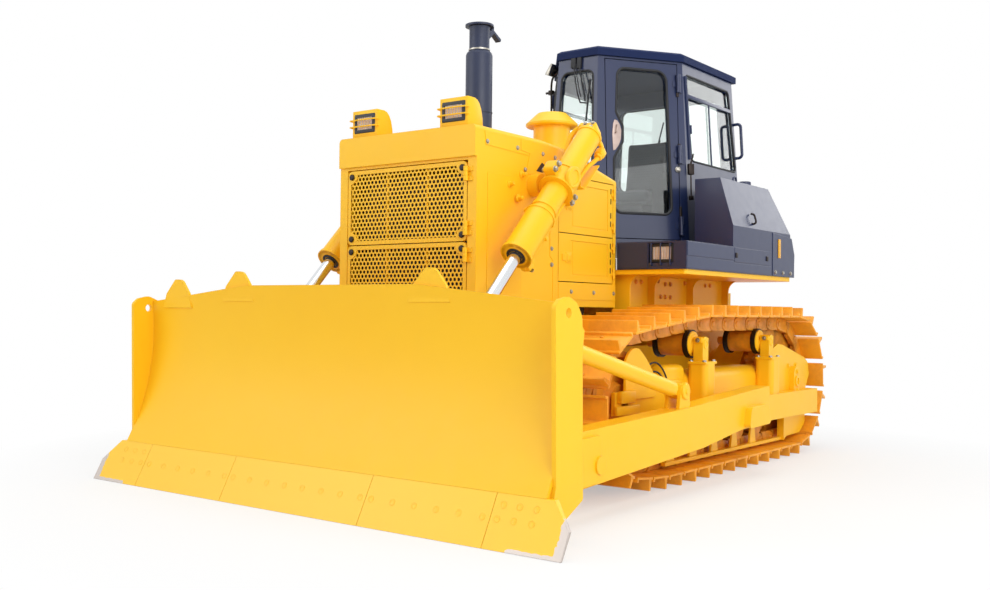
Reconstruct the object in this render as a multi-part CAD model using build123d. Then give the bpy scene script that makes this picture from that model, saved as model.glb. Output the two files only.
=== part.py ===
from build123d import *
import os
from math import asin, atan2, cos, hypot, pi, radians, sin, sqrt, tan

# Crawler bulldozer with a straight blade.  Millimetres; +Z up, the front faces -Y and the
# machine's left side is +X.  The origin lies on the ground, on the centre plane, half way
# between the cutting edge and the drawbar.

# ---------------------------------------------------------------- driving dimensions
seat_gap = 0.3                  # between pieces that rest on each other
hinge_air = 3.0                 # hinge knuckle above the face that it stands on
door_gap = 6.0

# Tracks
track_gauge = 2000.0            # between the middles of the two tracks
shoe_width = 560.0
shoe_count = 38                 # shoes in one track
shoe_plate = 16.0
grouser_height = 72.0
grouser_thickness = 20.0
grouser_place = 0.62            # share of half a shoe from its middle to the grouser
link_half_height = 53.0         # pin line to rail, and pin line to shoe seat
link_width = 40.0
link_spread = 78.0              # chain's middle to a link's middle
link_notch = 16.0               # depth of the step between two links' rails
sprocket_y = 1870.0
idler_y = -860.0
sprocket_pin_radius = 468.0
sprocket_width = 70.0
sprocket_teeth = 27
sprocket_bore = 180.0
idler_pin_radius = 405.0
idler_lift = 27.0               # the idler's share of the run that is off the ground
idler_shaft = 45.0
idler_hub = 120.0
roller_radius = 95.0
roller_flange = 14.0
roller_shaft = 40.0
roller_ys = (-430.0, -78.0, 274.0, 626.0, 978.0, 1330.0)
carrier_radius = 86.0
carrier_shaft = 30.0
carrier_ys = (120.0, 1320.0)
flat_lead = 150.0               # the run leaves the ground this far before the first roller

# Track frame
frame_width = 280.0
frame_bottom = 410.0
frame_top = 745.0
frame_plate = 25.0
side_beam_inner = 1180.0        # from the centre plane
side_beam_outer = 1300.0
side_beam_bottom = 326.0
side_beam_top = 525.0
side_beam_front = 120.0
side_beam_rear = 2190.0
post_reach = 65.0               # from the links to the carrier posts
post_head = 72.0                # across a post's split head
pedestal_top = 800.0
pedestal_size = (150.0, 170.0)
guard_plate = 16.0
roller_strip = (118.0, 143.0)   # bottom and top of the strip under the rollers
strip_rear = 1700.0
drive_drum = 330.0              # radius of the final drives' drums

# Blade and push arms
trunnion_y = 420.0
trunnion_z = 425.0
trunnion_radius = 62.0
arm_x = 1405.0
arm_width = 140.0
arm_front = -2240.0
arm_rear = 700.0
arm_nose_bottom = 172.0
arm_nose_top = 493.0
arm_tail_bottom = 425.0
arm_tail_top = 628.0
blade_half = 1690.0
blade_plate = 22.0
edge_tip_y = -2730.0
edge_angle = 62.0               # cutting edge above the ground, degrees
edge_height = 255.0
edge_thickness = 28.0
edge_split = 566.0              # joint between the middle and the outer cutting edges
bit_length = 461.0
bit_overhang = 172.5            # end bit past the mouldboard
blade_top = 1300.0
blade_top_y = -2430.0
blade_sag = 98.0                # hollow of the mouldboard
blade_end_top = 1193.0
blade_crown_half = 705.0
end_plate = 25.0
lifting_hole = (-2440.0, 1150.0)
lifting_hole_radius = 25.0
brace_foot = (-653.0, 657.0)    # (y, z) of the brace's pins
brace_head = (-2200.0, 1010.0)
brace_eye = 58.0                # width of the brace's eyes
brace_radius = 49.0
ear_plate = 23.0

# Lift cylinders
lift_x = 790.0
lift_pivot_y = -1107.0
lift_pivot_z = 1981.0
lift_eye_y = -2275.0
lift_eye_z = 800.0
lift_barrel_radius = 82.0
lift_sleeve_radius = 96.0
lift_collar_radius = 112.0
lift_rod_radius = 40.0
lift_gland = 690.0              # pivot to gland
lift_tail = 490.0               # pivot to barrel's top
lift_end_wall = 15.0
lift_draw = 787.0               # how far the rod draws in from rest
lift_pin = 36.0
lift_eye_half = 45.0

# Hull and engine
hull_half = 520.0
hull_bottom = 405.0
hull_front = -1700.0
case_front = 700.0
case_rear = 2150.0
case_top = 1340.0
rail_top = 900.0
rail_width = 120.0
pan_plate = 65.0
equalizer_y = (-430.0, -290.0)
engine_half = 340.0
engine_front = -1380.0
engine_rear = -70.0
engine_top = 1820.0
hitch_rear = 2730.0

# Hood and radiator guard
guard_half = 578.0
guard_front = -1735.0
guard_bottom = 800.0
guard_round = 30.0              # rounding of the hood's long edges
hood_seam_y = -800.0
hood_rear = -20.0
hood_wall = 12.0
hood_levels = ((guard_front, 2302.0), (-1005.0, 2300.0), (-734.0, 2281.0), (hood_rear, 2132.0))
header_bottom = 2105.0
header_depth = 60.0
grille_half = 505.0
grille_recess = 17.0            # the grilles lie behind the header's face
grille_top = 2080.0
grille_split = 1582.0
grille_bottom = 1105.0
grille_depth = 30.0
grille_rim = 26.0
grille_sheet = 8.0
grille_pitch = 60.0
grille_hole = 23.0
side_door_top = 2088.0
side_door_split = 1698.0
side_door_bottom = 1366.0
side_panel_bottom = 1191.0
stack_y = -945.0
stack_pipe = 82.0               # radius of the exhaust's upper pipe
stack_muffler = 110.0
stack_neck = 170.0              # length of the thinner pipe above the silencer
stack_top = 3150.0
stack_collar_top = 2312.0
cap_radius = 100.0
precleaner_place = (112.0, -180.0)
precleaner_body = 138.0
precleaner_cap = 196.0
precleaner_top = 2645.0
precleaner_seat = 38.0                            # height of its collar over the hood
lamp_inner = 260.0
lamp_outer = 502.0
lamp_front = -1700.0
lamp_top = 2487.0

# Platform, fenders and cab
fender_inner = 590.0
fender_outer = 1150.0
fender_front = -20.0
fender_rear = 2030.0
fender_bottom = 1470.0
fender_top = 1670.0
flange_drop = 36.0              # platform flange under the fenders
flange_margin = 12.0
platform_wall = 600.0           # outside of the platform's side walls
platform_foot = 1150.0
rib_ys = (60.0, 446.0, 1108.0, 1785.0)
rib_half = 660.0
rib_curve = 90.0
tank_inner = 830.0
tank_front = 768.0
tank_crease_rise = 162.0
tank_rise = 535.0
tank_lean = 110.0
fender_lamp = (851.0, 1049.0, 1516.0, 1655.0)     # x, x, z, z of the headlamp recess
cab_floor = fender_top + seat_gap
cab_eaves = 3190.0
cab_wall = 50.0
cab_floor_plate = 40.0
cab_front_y = 270.0
cab_front_half = 230.0
cab_half = 700.0
cab_rear = 1976.0
cab_taper = 0.062               # inward lean of the front, door and side walls, per unit of height
cab_rear_taper = 0.028
cab_face_slope = 1.44           # plan slope of the angled door faces, dy/dx
roof_overhang = 18.0
roof_fascia = 55.0
roof_rise = 75.0                # roof's top above the eaves
roof_rear = 1991.0
glass_depth = 20.0              # a pane lies this far inside its wall's face
glass_thickness = 6.0
rail_low = 850.0                # grab rails' feet above the cab floor
rail_high = 1148.0


# ---------------------------------------------------------------- helpers
def block(xs, ys, zs):
    """A box between two x, two y and two z values."""
    size = [abs(b - a) for a, b in (xs, ys, zs)]
    mid = [(a + b) / 2 for a, b in (xs, ys, zs)]
    return Pos(*mid) * Box(*size)


def rounded_outline(corners):
    """A face from (a, b, radius) corners, sharp where the radius is 0."""
    face = Sketch() + make_face(Polyline(*[(a, b) for a, b, _ in corners], close=True))
    for radius in sorted({r for _, _, r in corners if r}):
        spots = [Vector(a, b) for a, b, r in corners if r == radius]
        chosen = [v for v in face.vertices() if min((Vector(*v) - spot).length for spot in spots) < 0.01]
        face = fillet(chosen, radius)
    return face


def flat(outline):
    """The outline itself if it is a face already, else a face inside its points."""
    return make_face(Polyline(*outline, close=True)) if isinstance(outline, (list, tuple)) else outline


def prism_x(outline, x0, x1):
    """A (y, z) outline carried from x0 to x1."""
    return Pos(min(x0, x1), 0, 0) * extrude(Plane.YZ * flat(outline), abs(x1 - x0))


def prism_y(outline, y0, y1):
    """An (x, z) outline carried from y0 to y1."""
    return Pos(0, max(y0, y1), 0) * extrude(Plane.XZ * flat(outline), abs(y1 - y0))


def prism_z(outline, z0, z1):
    """An (x, y) outline carried from z0 to z1."""
    return Pos(0, 0, min(z0, z1)) * extrude(flat(outline), abs(z1 - z0))


def rod(start, end, radius):
    """A round bar between two points."""
    a, b = Vector(*start), Vector(*end)
    return extrude(Plane(origin=a, z_dir=b - a) * Circle(radius), (b - a).length)


def cross_bar(x0, x1, spot, radius):
    """A round bar along X at a (y, z) spot."""
    return rod((x0, *spot), (x1, *spot), radius)


def hinge(pin, fixed_way, outward, height, lift, leaf):
    """The fixed and the moving half of a leaf hinge whose pin lies `lift` outside a face."""
    way, out_way = Vector(*fixed_way), Vector(*outward)
    place = Plane(origin=pin, x_dir=way, z_dir=way.cross(out_way))
    barrel, third, plate = lift - hinge_air, height / 3, 2 * hinge_air
    fixed = Cylinder(barrel / 2, height)
    for end in (-third, third):
        fixed += Pos(0, 0, end) * Cylinder(barrel, third)
        fixed += Pos(leaf / 2, plate / 2 - lift, end) * Box(leaf, plate, third)
    inner = third - 2 * seat_gap
    moving = Cylinder(barrel, inner) + Pos(-leaf / 2, plate / 2 - lift, 0) * Box(leaf, plate, inner)
    moving -= Cylinder(barrel / 2 + seat_gap, third)
    return place * fixed, place * moving


def other_side(part):
    return mirror(part, about=Plane.YZ)


def gather(parts):
    """Several parts as one compound of their solids."""
    return Compound([solid for part in parts for solid in part.solids()])


def both(part):
    """The left-hand part with its right-hand twin."""
    return gather([part, other_side(part)])


def save(name, part):
    solids = part.solids()
    shape = solids[0] if len(solids) == 1 else Compound(solids)
    shape.label = name
    export_step(shape, f"parts/{name}.step")


# ---------------------------------------------------------------- track chain
track_x = track_gauge / 2
pin_drop = link_half_height + shoe_plate + grouser_height      # pin line above the ground
sprocket_z = pin_drop + sprocket_pin_radius
idler_z = pin_drop + idler_lift + idler_pin_radius
roller_z = pin_drop + link_half_height + roller_radius + seat_gap
chain_top = sprocket_z + sprocket_pin_radius                   # pin line over the carriers
link_outer = link_spread + link_width / 2                      # chain's middle to a link's outside

# (y, z, pin-line radius) of what the chain runs round, counter-clockwise seen from the left
carrier_reach = carrier_radius + link_half_height
chain_circles = [
    (sprocket_y, sprocket_z, sprocket_pin_radius),
    (carrier_ys[1], chain_top - carrier_reach, carrier_reach),
    (carrier_ys[0], chain_top - carrier_reach, carrier_reach),
    (idler_y, idler_z, idler_pin_radius),
    (roller_ys[0] - flat_lead, roller_z, roller_radius + link_half_height),
]


def tangent_points(first, second):
    """Where the outer tangent that keeps both circles on its left touches them."""
    (y0, z0, r0), (y1, z1, r1) = first, second
    span = hypot(y1 - y0, z1 - z0)
    angle = atan2(z1 - z0, y1 - y0) + asin((r0 - r1) / span) - pi / 2
    side = (cos(angle), sin(angle))
    return (y0 + r0 * side[0], z0 + r0 * side[1]), (y1 + r1 * side[0], z1 + r1 * side[1]), angle


def chain_pins():
    """Pins at equal steps round the pin line, and the step."""
    count = len(chain_circles)
    runs = [tangent_points(chain_circles[i], chain_circles[(i + 1) % count]) for i in range(count)]
    pieces = []
    for i, (y, z, r) in enumerate(chain_circles):
        start, end = runs[i - 1][2], runs[i][2]
        sweep = round(end - start, 9) % (2 * pi)
        pieces.append(("arc", r * sweep, (y, z, r, start, sweep)))
        a, b, _ = runs[i]
        pieces.append(("line", hypot(b[0] - a[0], b[1] - a[1]), (a, b)))
    total = sum(piece[1] for piece in pieces)
    spots = []
    for k in range(shoe_count):
        left = total * k / shoe_count
        for kind, length, data in pieces:
            if left <= length:
                break
            left -= length
        share = left / length
        if kind == "arc":
            y, z, r, start, sweep = data
            turn = start + sweep * share
            spots.append((y + r * cos(turn), z + r * sin(turn)))
        else:
            a, b = data
            spots.append((a[0] + (b[0] - a[0]) * share, a[1] + (b[1] - a[1]) * share))
    return spots, total / shoe_count


pins, pitch = chain_pins()


def chain_outline(points_of_link):
    """A closed outline round the chain from (along, out) points of each link, given half a chord."""
    outline = []
    for k, a in enumerate(pins):
        b = pins[(k + 1) % shoe_count]
        chord = hypot(b[0] - a[0], b[1] - a[1])
        along = ((b[0] - a[0]) / chord, (b[1] - a[1]) / chord)
        mid = ((a[0] + b[0]) / 2, (a[1] + b[1]) / 2)
        for s, n in points_of_link(chord / 2):
            outline.append((mid[0] + along[0] * s + along[1] * n, mid[1] + along[1] * s - along[0] * n))
    return outline


def pin_line(offset):
    """The pin line's polygon moved outwards, with its corners at the pins."""
    outline = []
    for k, pin in enumerate(pins):
        before, after = pins[k - 1], pins[(k + 1) % shoe_count]
        turn_in = atan2(pin[1] - before[1], pin[0] - before[0])
        turn_out = atan2(after[1] - pin[1], after[0] - pin[0])
        half = ((turn_out - turn_in + pi) % (2 * pi) - pi) / 2
        away = turn_in + half - pi / 2
        reach = offset / cos(half)
        outline.append((pin[0] + reach * cos(away), pin[1] + reach * sin(away)))
    return outline


def run_height(y):
    """Height of the pin line's upper run at a station."""
    for k, a in enumerate(pins):
        b = pins[(k + 1) % shoe_count]
        if b[0] <= y < a[0]:
            return a[1] + (b[1] - a[1]) * (y - a[0]) / (b[0] - a[0])


def track():
    """One chain: two rows of stepped links under a strip of shoes with their grousers."""
    top = link_half_height + shoe_plate
    tip = top + grouser_height
    half = grouser_thickness / 2
    root = half + 6

    def shoe(h):
        mid = grouser_place * h
        return [(-h * 0.93, top), (mid - root, top), (mid - half, tip), (mid + half, tip),
                (mid + root, top), (h * 0.93, top)]

    def rail(h):
        return [(-h + link_notch, -link_half_height + link_notch), (-h + 2 * link_notch, -link_half_height),
                (h - 2 * link_notch, -link_half_height), (h - link_notch, -link_half_height + link_notch)]

    x0, x1 = track_x - shoe_width / 2, track_x + shoe_width / 2
    chain = prism_x(chain_outline(shoe), x0, x1) - prism_x(pin_line(link_half_height), x0 - 1, x1 + 1)
    for side in (-1, 1):
        mid = track_x + side * link_spread
        low, high = mid - link_width / 2, mid + link_width / 2
        links = prism_x(pin_line(link_half_height + shoe_plate / 8), low, high)
        chain += links - prism_x(chain_outline(rail), low - 1, high + 1)
    return chain


def sprocket():
    """Toothed rim: every second tooth gap meets a bushing of the chain."""
    first = atan2(pins[0][1] - sprocket_z, pins[0][0] - sprocket_y)
    root = sprocket_pin_radius - 34
    tip = sprocket_pin_radius + 14
    step = 2 * pi / sprocket_teeth
    shape = []
    for k in range(sprocket_teeth):
        mid = first + step * (k + 0.5)
        for share, radius in ((-0.30, root), (-0.14, tip), (0.14, tip), (0.30, root)):
            turn = mid + share * step
            shape.append((sprocket_y + radius * cos(turn), sprocket_z + radius * sin(turn)))
    half = sprocket_width / 2
    rim = prism_x(shape, track_x - half, track_x + half)
    return rim - cross_bar(track_x - sprocket_width, track_x + sprocket_width, (sprocket_y, sprocket_z),
                           sprocket_bore)


def turned(profile, y, z):
    """A wheel turned about an x-wise axis in the track's middle, from (x offset, radius) points."""
    face = make_face(Polyline(*profile, close=True))
    return Pos(track_x, y, z) * revolve(face, Axis.X)


def idler():
    tread = sqrt(idler_pin_radius ** 2 - (pitch / 2) ** 2) - link_half_height - seat_gap
    rail, flange = link_outer, link_spread - link_width / 2 - 6
    rim = tread - 50
    half = [(rail, idler_shaft + 25), (rail, idler_hub), (flange, idler_hub + 20), (flange, rim),
            (rail, rim + 8),
            (rail, tread), (flange, tread), (flange - 6, tread + 18)]
    return turned([(-a, r) for a, r in half] + half[::-1], idler_y, idler_z)


def roller(y, z, radius, shaft, reach):
    """Twin-flanged roller with its shaft ends."""
    edge = link_outer + 2
    rim = edge + 12
    top = radius + roller_flange
    half = [(reach, 0), (reach, shaft), (rim, shaft), (rim, top), (edge, top), (edge, radius)]
    return turned([(-a, r) for a, r in half] + half[::-1], y, z)


frame_half = frame_width / 2
carrier_zs = [run_height(y) - link_half_height - carrier_radius - seat_gap for y in carrier_ys]
roller_reach = frame_half - 8
post_x = track_x + link_outer + post_reach
carrier_reach_x = post_x + post_head * 0.7 - track_x


def carrier_post(y, z):
    """Bolted pedestal with a round-topped split head that clamps a carrier roller's shaft."""
    mid_x = (side_beam_outer - 20) - pedestal_size[0] / 2
    foot = rounded_outline([(mid_x + a * pedestal_size[0] / 2, y + b * pedestal_size[1] / 2, 40)
                            for a, b in ((-1, -1), (1, -1), (1, 1), (-1, 1))])
    post = prism_z(foot, side_beam_top - 10, pedestal_top)
    post += block((post_x - 20, side_beam_outer - 20), (y - 92, y + 92),
                  (pedestal_top - 1, pedestal_top + 16))
    top = z + 54
    head = rounded_outline([(y - 46, pedestal_top + 10, 0), (y + 46, pedestal_top + 10, 0),
                            (y + 46, top, 40), (y - 46, top, 40)])
    post += prism_x(head, post_x, post_x + post_head)
    return post - cross_bar(post_x - 5, track_x + carrier_reach_x + 1, (y, z), carrier_shaft + seat_gap)


def track_frame():
    """Box beam with its idler forks, carrier posts, side beam, trunnion and guards."""
    x0, x1 = track_x - frame_half, track_x + frame_half
    beam_front, beam_rear = idler_y + idler_pin_radius + 15, sprocket_y - sprocket_pin_radius - 60
    section = rounded_outline([(x0, frame_bottom, 0), (x1, frame_bottom, 0), (x1, frame_top, 90),
                               (x0, frame_top, 90)])
    beam = prism_y(section, beam_front, beam_rear)
    for side in (-1, 1):
        walls = sorted((track_x + side * (frame_half - frame_plate), track_x + side * frame_half))
        beam += block(walls, (idler_y - 130, beam_front + 10), (idler_z - 75, idler_z + 75))
        beam += block(walls, (roller_ys[0] - 150, roller_ys[-1] + 120), (roller_z - 20, frame_bottom + 10))
    beam -= cross_bar(x0 - 5, x1 + 5, (idler_y, idler_z), idler_shaft + seat_gap)
    for y in roller_ys:
        beam -= cross_bar(x0 - 5, x1 + 5, (y, roller_z), roller_shaft + seat_gap)
    # side beam outside the lower shoes, with the push arm's trunnion
    beam += block((side_beam_inner, side_beam_outer), (side_beam_front - 100, side_beam_rear),
                  (side_beam_bottom, side_beam_top))
    beam += block((x1 - 10, side_beam_inner + 10), (side_beam_front - 100, beam_rear),
                  (frame_bottom, side_beam_top))
    beam += cross_bar(side_beam_outer - 20, arm_x + arm_width / 2 - 30, (trunnion_y, trunnion_z),
                      trunnion_radius)
    for y, z in zip(carrier_ys, carrier_zs):
        beam += carrier_post(y, z)
    # rounded guard plate beside the idler
    low, high = frame_top - 150, idler_z + idler_pin_radius - 59
    near, far = idler_y - 20, beam_front - 35
    arc = ThreePointArc((near, high - 80), (near + 75, high - 4), (near + 177, high))
    arc += ThreePointArc((near + 177, high), (far - 115, high - 80), (far, low + 120))
    feet = [(far, low + 120), (far, low), (near, low), (near, high - 80)]
    edges = arc + Polyline(*feet)
    beam += prism_x(make_face(edges), x1 - 1, x1 + guard_plate)
    # sprocket guard with its oval bearing boss
    hub_y, hub_z = sprocket_y, sprocket_z
    guard = rounded_outline([
        (hub_y - 540, side_beam_top - 10, 0), (hub_y - 543, hub_z + 143, 30), (hub_y - 450, hub_z + 251, 60),
        (hub_y - 310, hub_z + 306, 60), (hub_y - 210, hub_z + 296, 60), (hub_y + 280, hub_z + 181, 60),
        (hub_y + 370, hub_z + 136, 40), (hub_y + 400, hub_z + 31, 20), (hub_y + 310, side_beam_top - 10, 0)])
    beam += prism_x(guard, side_beam_inner, side_beam_inner + guard_plate)
    boss = Pos(sprocket_y, sprocket_z - 10) * SlotOverall(250, 130, rotation=90)
    beam += prism_x(boss, side_beam_inner + 10, side_beam_inner + 62)
    # strip under the rollers on hangers between them, and the rounded guard behind it
    low, high = roller_strip
    hanger_top = roller_z + 5
    beam += block((x1 - 1, x1 + 2 * guard_plate), (roller_ys[0] + 70, strip_rear + 10), (low, high))
    for before, after in zip(roller_ys, roller_ys[1:]):
        mid = (before + after) / 2
        hanger = [(mid - 60, high - 5), (mid + 60, high - 5), (mid + 28, hanger_top), (mid - 28, hanger_top)]
        beam += prism_x(hanger, x1 - 1, x1 + guard_plate)
    rear_guard = rounded_outline([
        (strip_rear, low, 0), (strip_rear + 60, low + 28, 40), (hub_y + 180, low + 34, 60),
        (hub_y + 308, low + 110, 40),
        (hub_y + 300, side_beam_bottom + 10, 0),
        (strip_rear, side_beam_bottom + 10, 0)])
    beam += prism_x(rear_guard, x1 - 1, side_beam_inner + guard_plate)
    return beam + block((x1 - 1, side_beam_inner + 10), (strip_rear, beam_rear),
                        (side_beam_bottom, side_beam_top))


def final_drive():
    """Drum beside the hull and stepped hub through the sprocket, out to the side beam."""
    steps = (              # from x, to x, radius
        (hull_half + 100, 870, drive_drum), (860, 960, 250), (950, 1100, sprocket_bore - seat_gap),
        (1090, side_beam_inner - seat_gap, 130))
    drum = None
    for x0, x1, radius in steps:
        piece = cross_bar(x0, x1, (sprocket_y, sprocket_z), radius)
        drum = piece if drum is None else drum + piece
    return drum


# ---------------------------------------------------------------- hull and engine
def belly_frame():
    """Transmission case at the rear, rails and belly pan in front, equalizer bar across."""
    floor_top = hull_bottom + pan_plate
    case = block((-hull_half, hull_half), (case_front, case_rear), (hull_bottom, case_top))
    pan = [(hull_front + 200, 560), (hull_front + 400, hull_bottom), (case_front + 10, hull_bottom),
           (case_front + 10, floor_top), (hull_front + 420, floor_top), (hull_front + 200, 620)]
    case += prism_x(pan, -hull_half, hull_half)
    rail_inner = hull_half - rail_width
    for side in (-1, 1):
        case += block(sorted((side * rail_inner, side * hull_half)), (hull_front, case_front + 10),
                      (floor_top - 10, rail_top))
        case += cross_bar(side * (hull_half - 10), side * (hull_half + 100 - seat_gap),
                          (sprocket_y, sprocket_z), 250)
    case += block((-rail_inner, rail_inner), (hull_front, hull_front + 100), (600, rail_top))
    bar = track_x - frame_half - seat_gap
    case += block((-bar, bar), equalizer_y, (500, 640))
    return case


def engine_block():
    """The engine as one block on its four feet."""
    engine = block((-engine_half, engine_half), (engine_front, engine_rear), (rail_top + 40, engine_top))
    reach = hull_half - 20
    for y in (engine_front + 200, engine_rear - 200):
        engine += block((-reach, reach), (y - 70, y + 70), (rail_top + seat_gap, rail_top + 60))
    return engine


def radiator_core():
    return block((-470, 470), (guard_front + 115, guard_front + 235), (rail_top + seat_gap, 2020))


def drawbar():
    """Hitch block on the back of the hull with its pin bore."""
    bar = block((-150, 150), (case_rear + seat_gap, hitch_rear - 230), (480, 760))
    for low in (560, 640):
        bar += block((-110, 110), (hitch_rear - 240, hitch_rear), (low, low + 40))
    return bar - rod((0, hitch_rear - 90, 500), (0, hitch_rear - 90, 700), 30)


# ---------------------------------------------------------------- hood and radiator guard
def hood_z(y):
    """Height of the hood's top above a station."""
    for (y0, z0), (y1, z1) in zip(hood_levels, hood_levels[1:]):
        if y <= y1 or y1 == hood_rear:
            return z0 + (z1 - z0) * (y - y0) / (y1 - y0)


def crest(y0, y1, drop=0.0):
    """The hood's top line between two stations, lowered by a drop."""
    middle = [(y, z - drop) for y, z in hood_levels if y0 < y < y1]
    return [(y0, hood_z(y0) - drop), *middle, (y1, hood_z(y1) - drop)]


def soft_box(outline, half, radius):
    """An outline carried across the machine, its long edges along the top rounded."""
    body = prism_x(outline, -half, half)
    long_edges = []
    for edge in body.edges():
        size, middle = edge.bounding_box().size, edge.center()
        if abs(abs(middle.X) - half) < 1 and middle.Z > header_bottom and size.Y > size.Z:
            long_edges.append(edge)
    return fillet(long_edges, radius)


grille_face = guard_front + grille_recess
grille_levels = ((grille_split + door_gap / 2, grille_top), (grille_bottom, grille_split - door_gap / 2))
grille_hinge_lift = grille_recess + 1


def grille_hinges(low, high):
    """A grille door's two hinges, on its left edge."""
    pin_x, pin_y = grille_half + door_gap / 2, grille_face - grille_hinge_lift
    return [hinge((pin_x, pin_y, z), (1, 0, 0), (0, -1, 0), 90, grille_hinge_lift,
                  40) for z in (low + 80, high - 80)]


def radiator_guard():
    """Open box round the radiator: header, door frame, side plates, top and cylinder bosses."""
    inside = guard_half - hood_wall
    y1 = hood_seam_y - seat_gap / 2
    shell = soft_box(crest(guard_front, y1) + [(y1, side_panel_bottom), (y1 - 350, guard_bottom),
                                               (guard_front, guard_bottom)],
                     guard_half, guard_round)
    header_back = guard_front + header_depth
    hollow = crest(header_back, y1 + 10, hood_wall) + [
        (y1 + 10, guard_bottom - 10), (guard_front - 10, guard_bottom - 10),
        (guard_front - 10, header_bottom),
        (header_back, header_bottom)]
    shell -= soft_box(hollow, inside, guard_round - hood_wall)
    # frame of the two grille doors, behind them and round them
    frame = block((-inside - 1, inside + 1), (grille_face, header_back),
                  (rail_top + seat_gap, header_bottom + 20))
    opening = grille_half + door_gap
    frame -= block((-opening, opening), (guard_front, header_back + 10),
                   (grille_bottom - door_gap, grille_top + door_gap))
    shell += frame
    column = grille_half + 30
    for side in (-1, 1):
        shell -= block(sorted((side * column, side * (guard_half + 10))), (guard_front - 1, grille_face),
                       (guard_bottom - 1, header_bottom))
    for low, high in grille_levels:
        for fixed, _ in grille_hinges(low, high):
            shell += fixed
    # bosses that carry the lift cylinders' yokes
    spot = (lift_pivot_y, lift_pivot_z)
    boss_end = lift_x - lift_collar_radius - 23
    for side in (-1, 1):
        shell += cross_bar(side * (guard_half - 5), side * boss_end, spot, 75)
        shell -= cross_bar(side * (guard_half + 15), side * (boss_end + 5), spot, lift_pin + seat_gap)
    # flat collar that the exhaust passes
    shell += rod((0, stack_y, hood_z(stack_y) - hood_wall), (0, stack_y, stack_collar_top),
                 stack_muffler + 12)
    return shell - rod((0, stack_y, header_bottom), (0, stack_y, stack_collar_top + 10), stack_pipe + 10)


side_door_front = hood_seam_y + 12
side_door_rear = hood_rear - 46
side_door_levels = ((side_door_split + door_gap / 2, side_door_top),
                    (side_door_bottom, side_door_split - door_gap / 2))
side_hinge_lift = 10.0
side_hinge_y = side_door_rear + door_gap / 2


def side_hinges(low, high):
    """A side door's two hinges, on the left."""
    pin = guard_half + side_hinge_lift
    return [hinge((pin, side_hinge_y, z), (0, 1, 0), (1, 0, 0), 75, side_hinge_lift,
                  30) for z in (low + 70, high - 70)]


def hood():
    """Top skin, side frames round the engine doors, lower strips and the cowl before the cab."""
    y0, y1 = hood_seam_y + seat_gap / 2, hood_rear
    shell = soft_box(crest(y0, y1) + [(y1, side_panel_bottom), (y0, side_panel_bottom)], guard_half,
                     guard_round)
    rear_inside = y1 - hood_wall
    hollow = crest(y0 - 10, rear_inside, hood_wall) + [(rear_inside, side_panel_bottom - 10),
                                                       (y0 - 10, side_panel_bottom - 10)]
    shell -= soft_box(hollow, guard_half - hood_wall, guard_round - hood_wall)
    shell -= block((-guard_half - 10, guard_half + 10),
                   (side_door_front - door_gap, side_door_rear + door_gap),
                   (side_door_bottom - door_gap, side_door_top + door_gap))
    for low, high in side_door_levels:
        for fixed, _ in side_hinges(low, high):
            shell += fixed
            shell += other_side(fixed)
    shell += block((-cab_front_half, cab_front_half), (y1 - 6, cab_front_y - seat_gap),
                   (fender_bottom + 30, fender_top + 230))
    x, y = precleaner_place
    return shell + rod((x, y, hood_z(y) - hood_wall), (x, y, hood_z(y) + precleaner_seat),
                       precleaner_body + 10)


def side_door(low, high):
    """Engine side door with its recessed panel and latch, on the left."""
    face = guard_half
    door = block((face - hood_wall, face), (side_door_front, side_door_rear), (low, high))
    door -= block((face - 5, face + 5), (side_door_front + 150, side_door_rear - 68), (low + 45, high - 45))
    middle = (low + high) / 2
    door += block((face - 1, face + 7), (side_door_front + 40, side_door_front + 85),
                  (middle - 22, middle + 22))
    for _, moving in side_hinges(low, high):
        door += moving
    return door


def grille_door(low, high):
    """Perforated door in a raised rim, hinged on the left."""
    y0, y1 = grille_face, grille_face + grille_depth
    corner = 34
    outline = rounded_outline([(-grille_half, low, corner), (grille_half, low, corner),
                               (grille_half, high, corner),
                               (-grille_half, high, corner)])
    door = prism_y(outline, y0, y1)
    rim = grille_half - grille_rim
    door -= block((-rim, rim), (y0 + grille_sheet, y1 + 5), (low + grille_rim, high - grille_rim))
    row_step = grille_pitch * sqrt(3) / 2
    half_w, half_h = rim - grille_pitch / 2, (high - low) / 2 - grille_rim - grille_pitch / 2
    middle = (low + high) / 2
    rows = int(half_h / row_step)
    cutters = []
    for row in range(-rows, rows + 1):
        shift = grille_pitch / 2 if row % 2 else 0
        count = int((half_w - shift) / grille_pitch)
        for col in range(-count - (1 if shift else 0), count + 1):
            spot = Pos(col * grille_pitch + shift, middle + row * row_step)
            cutters.append(spot * RegularPolygon(grille_hole, 6))
    door -= Pos(0, y1 + 5, 0) * extrude(Plane.XZ * Sketch(children=cutters), 2 * grille_depth)
    for _, moving in grille_hinges(low, high):
        door += moving
    return door


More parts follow.
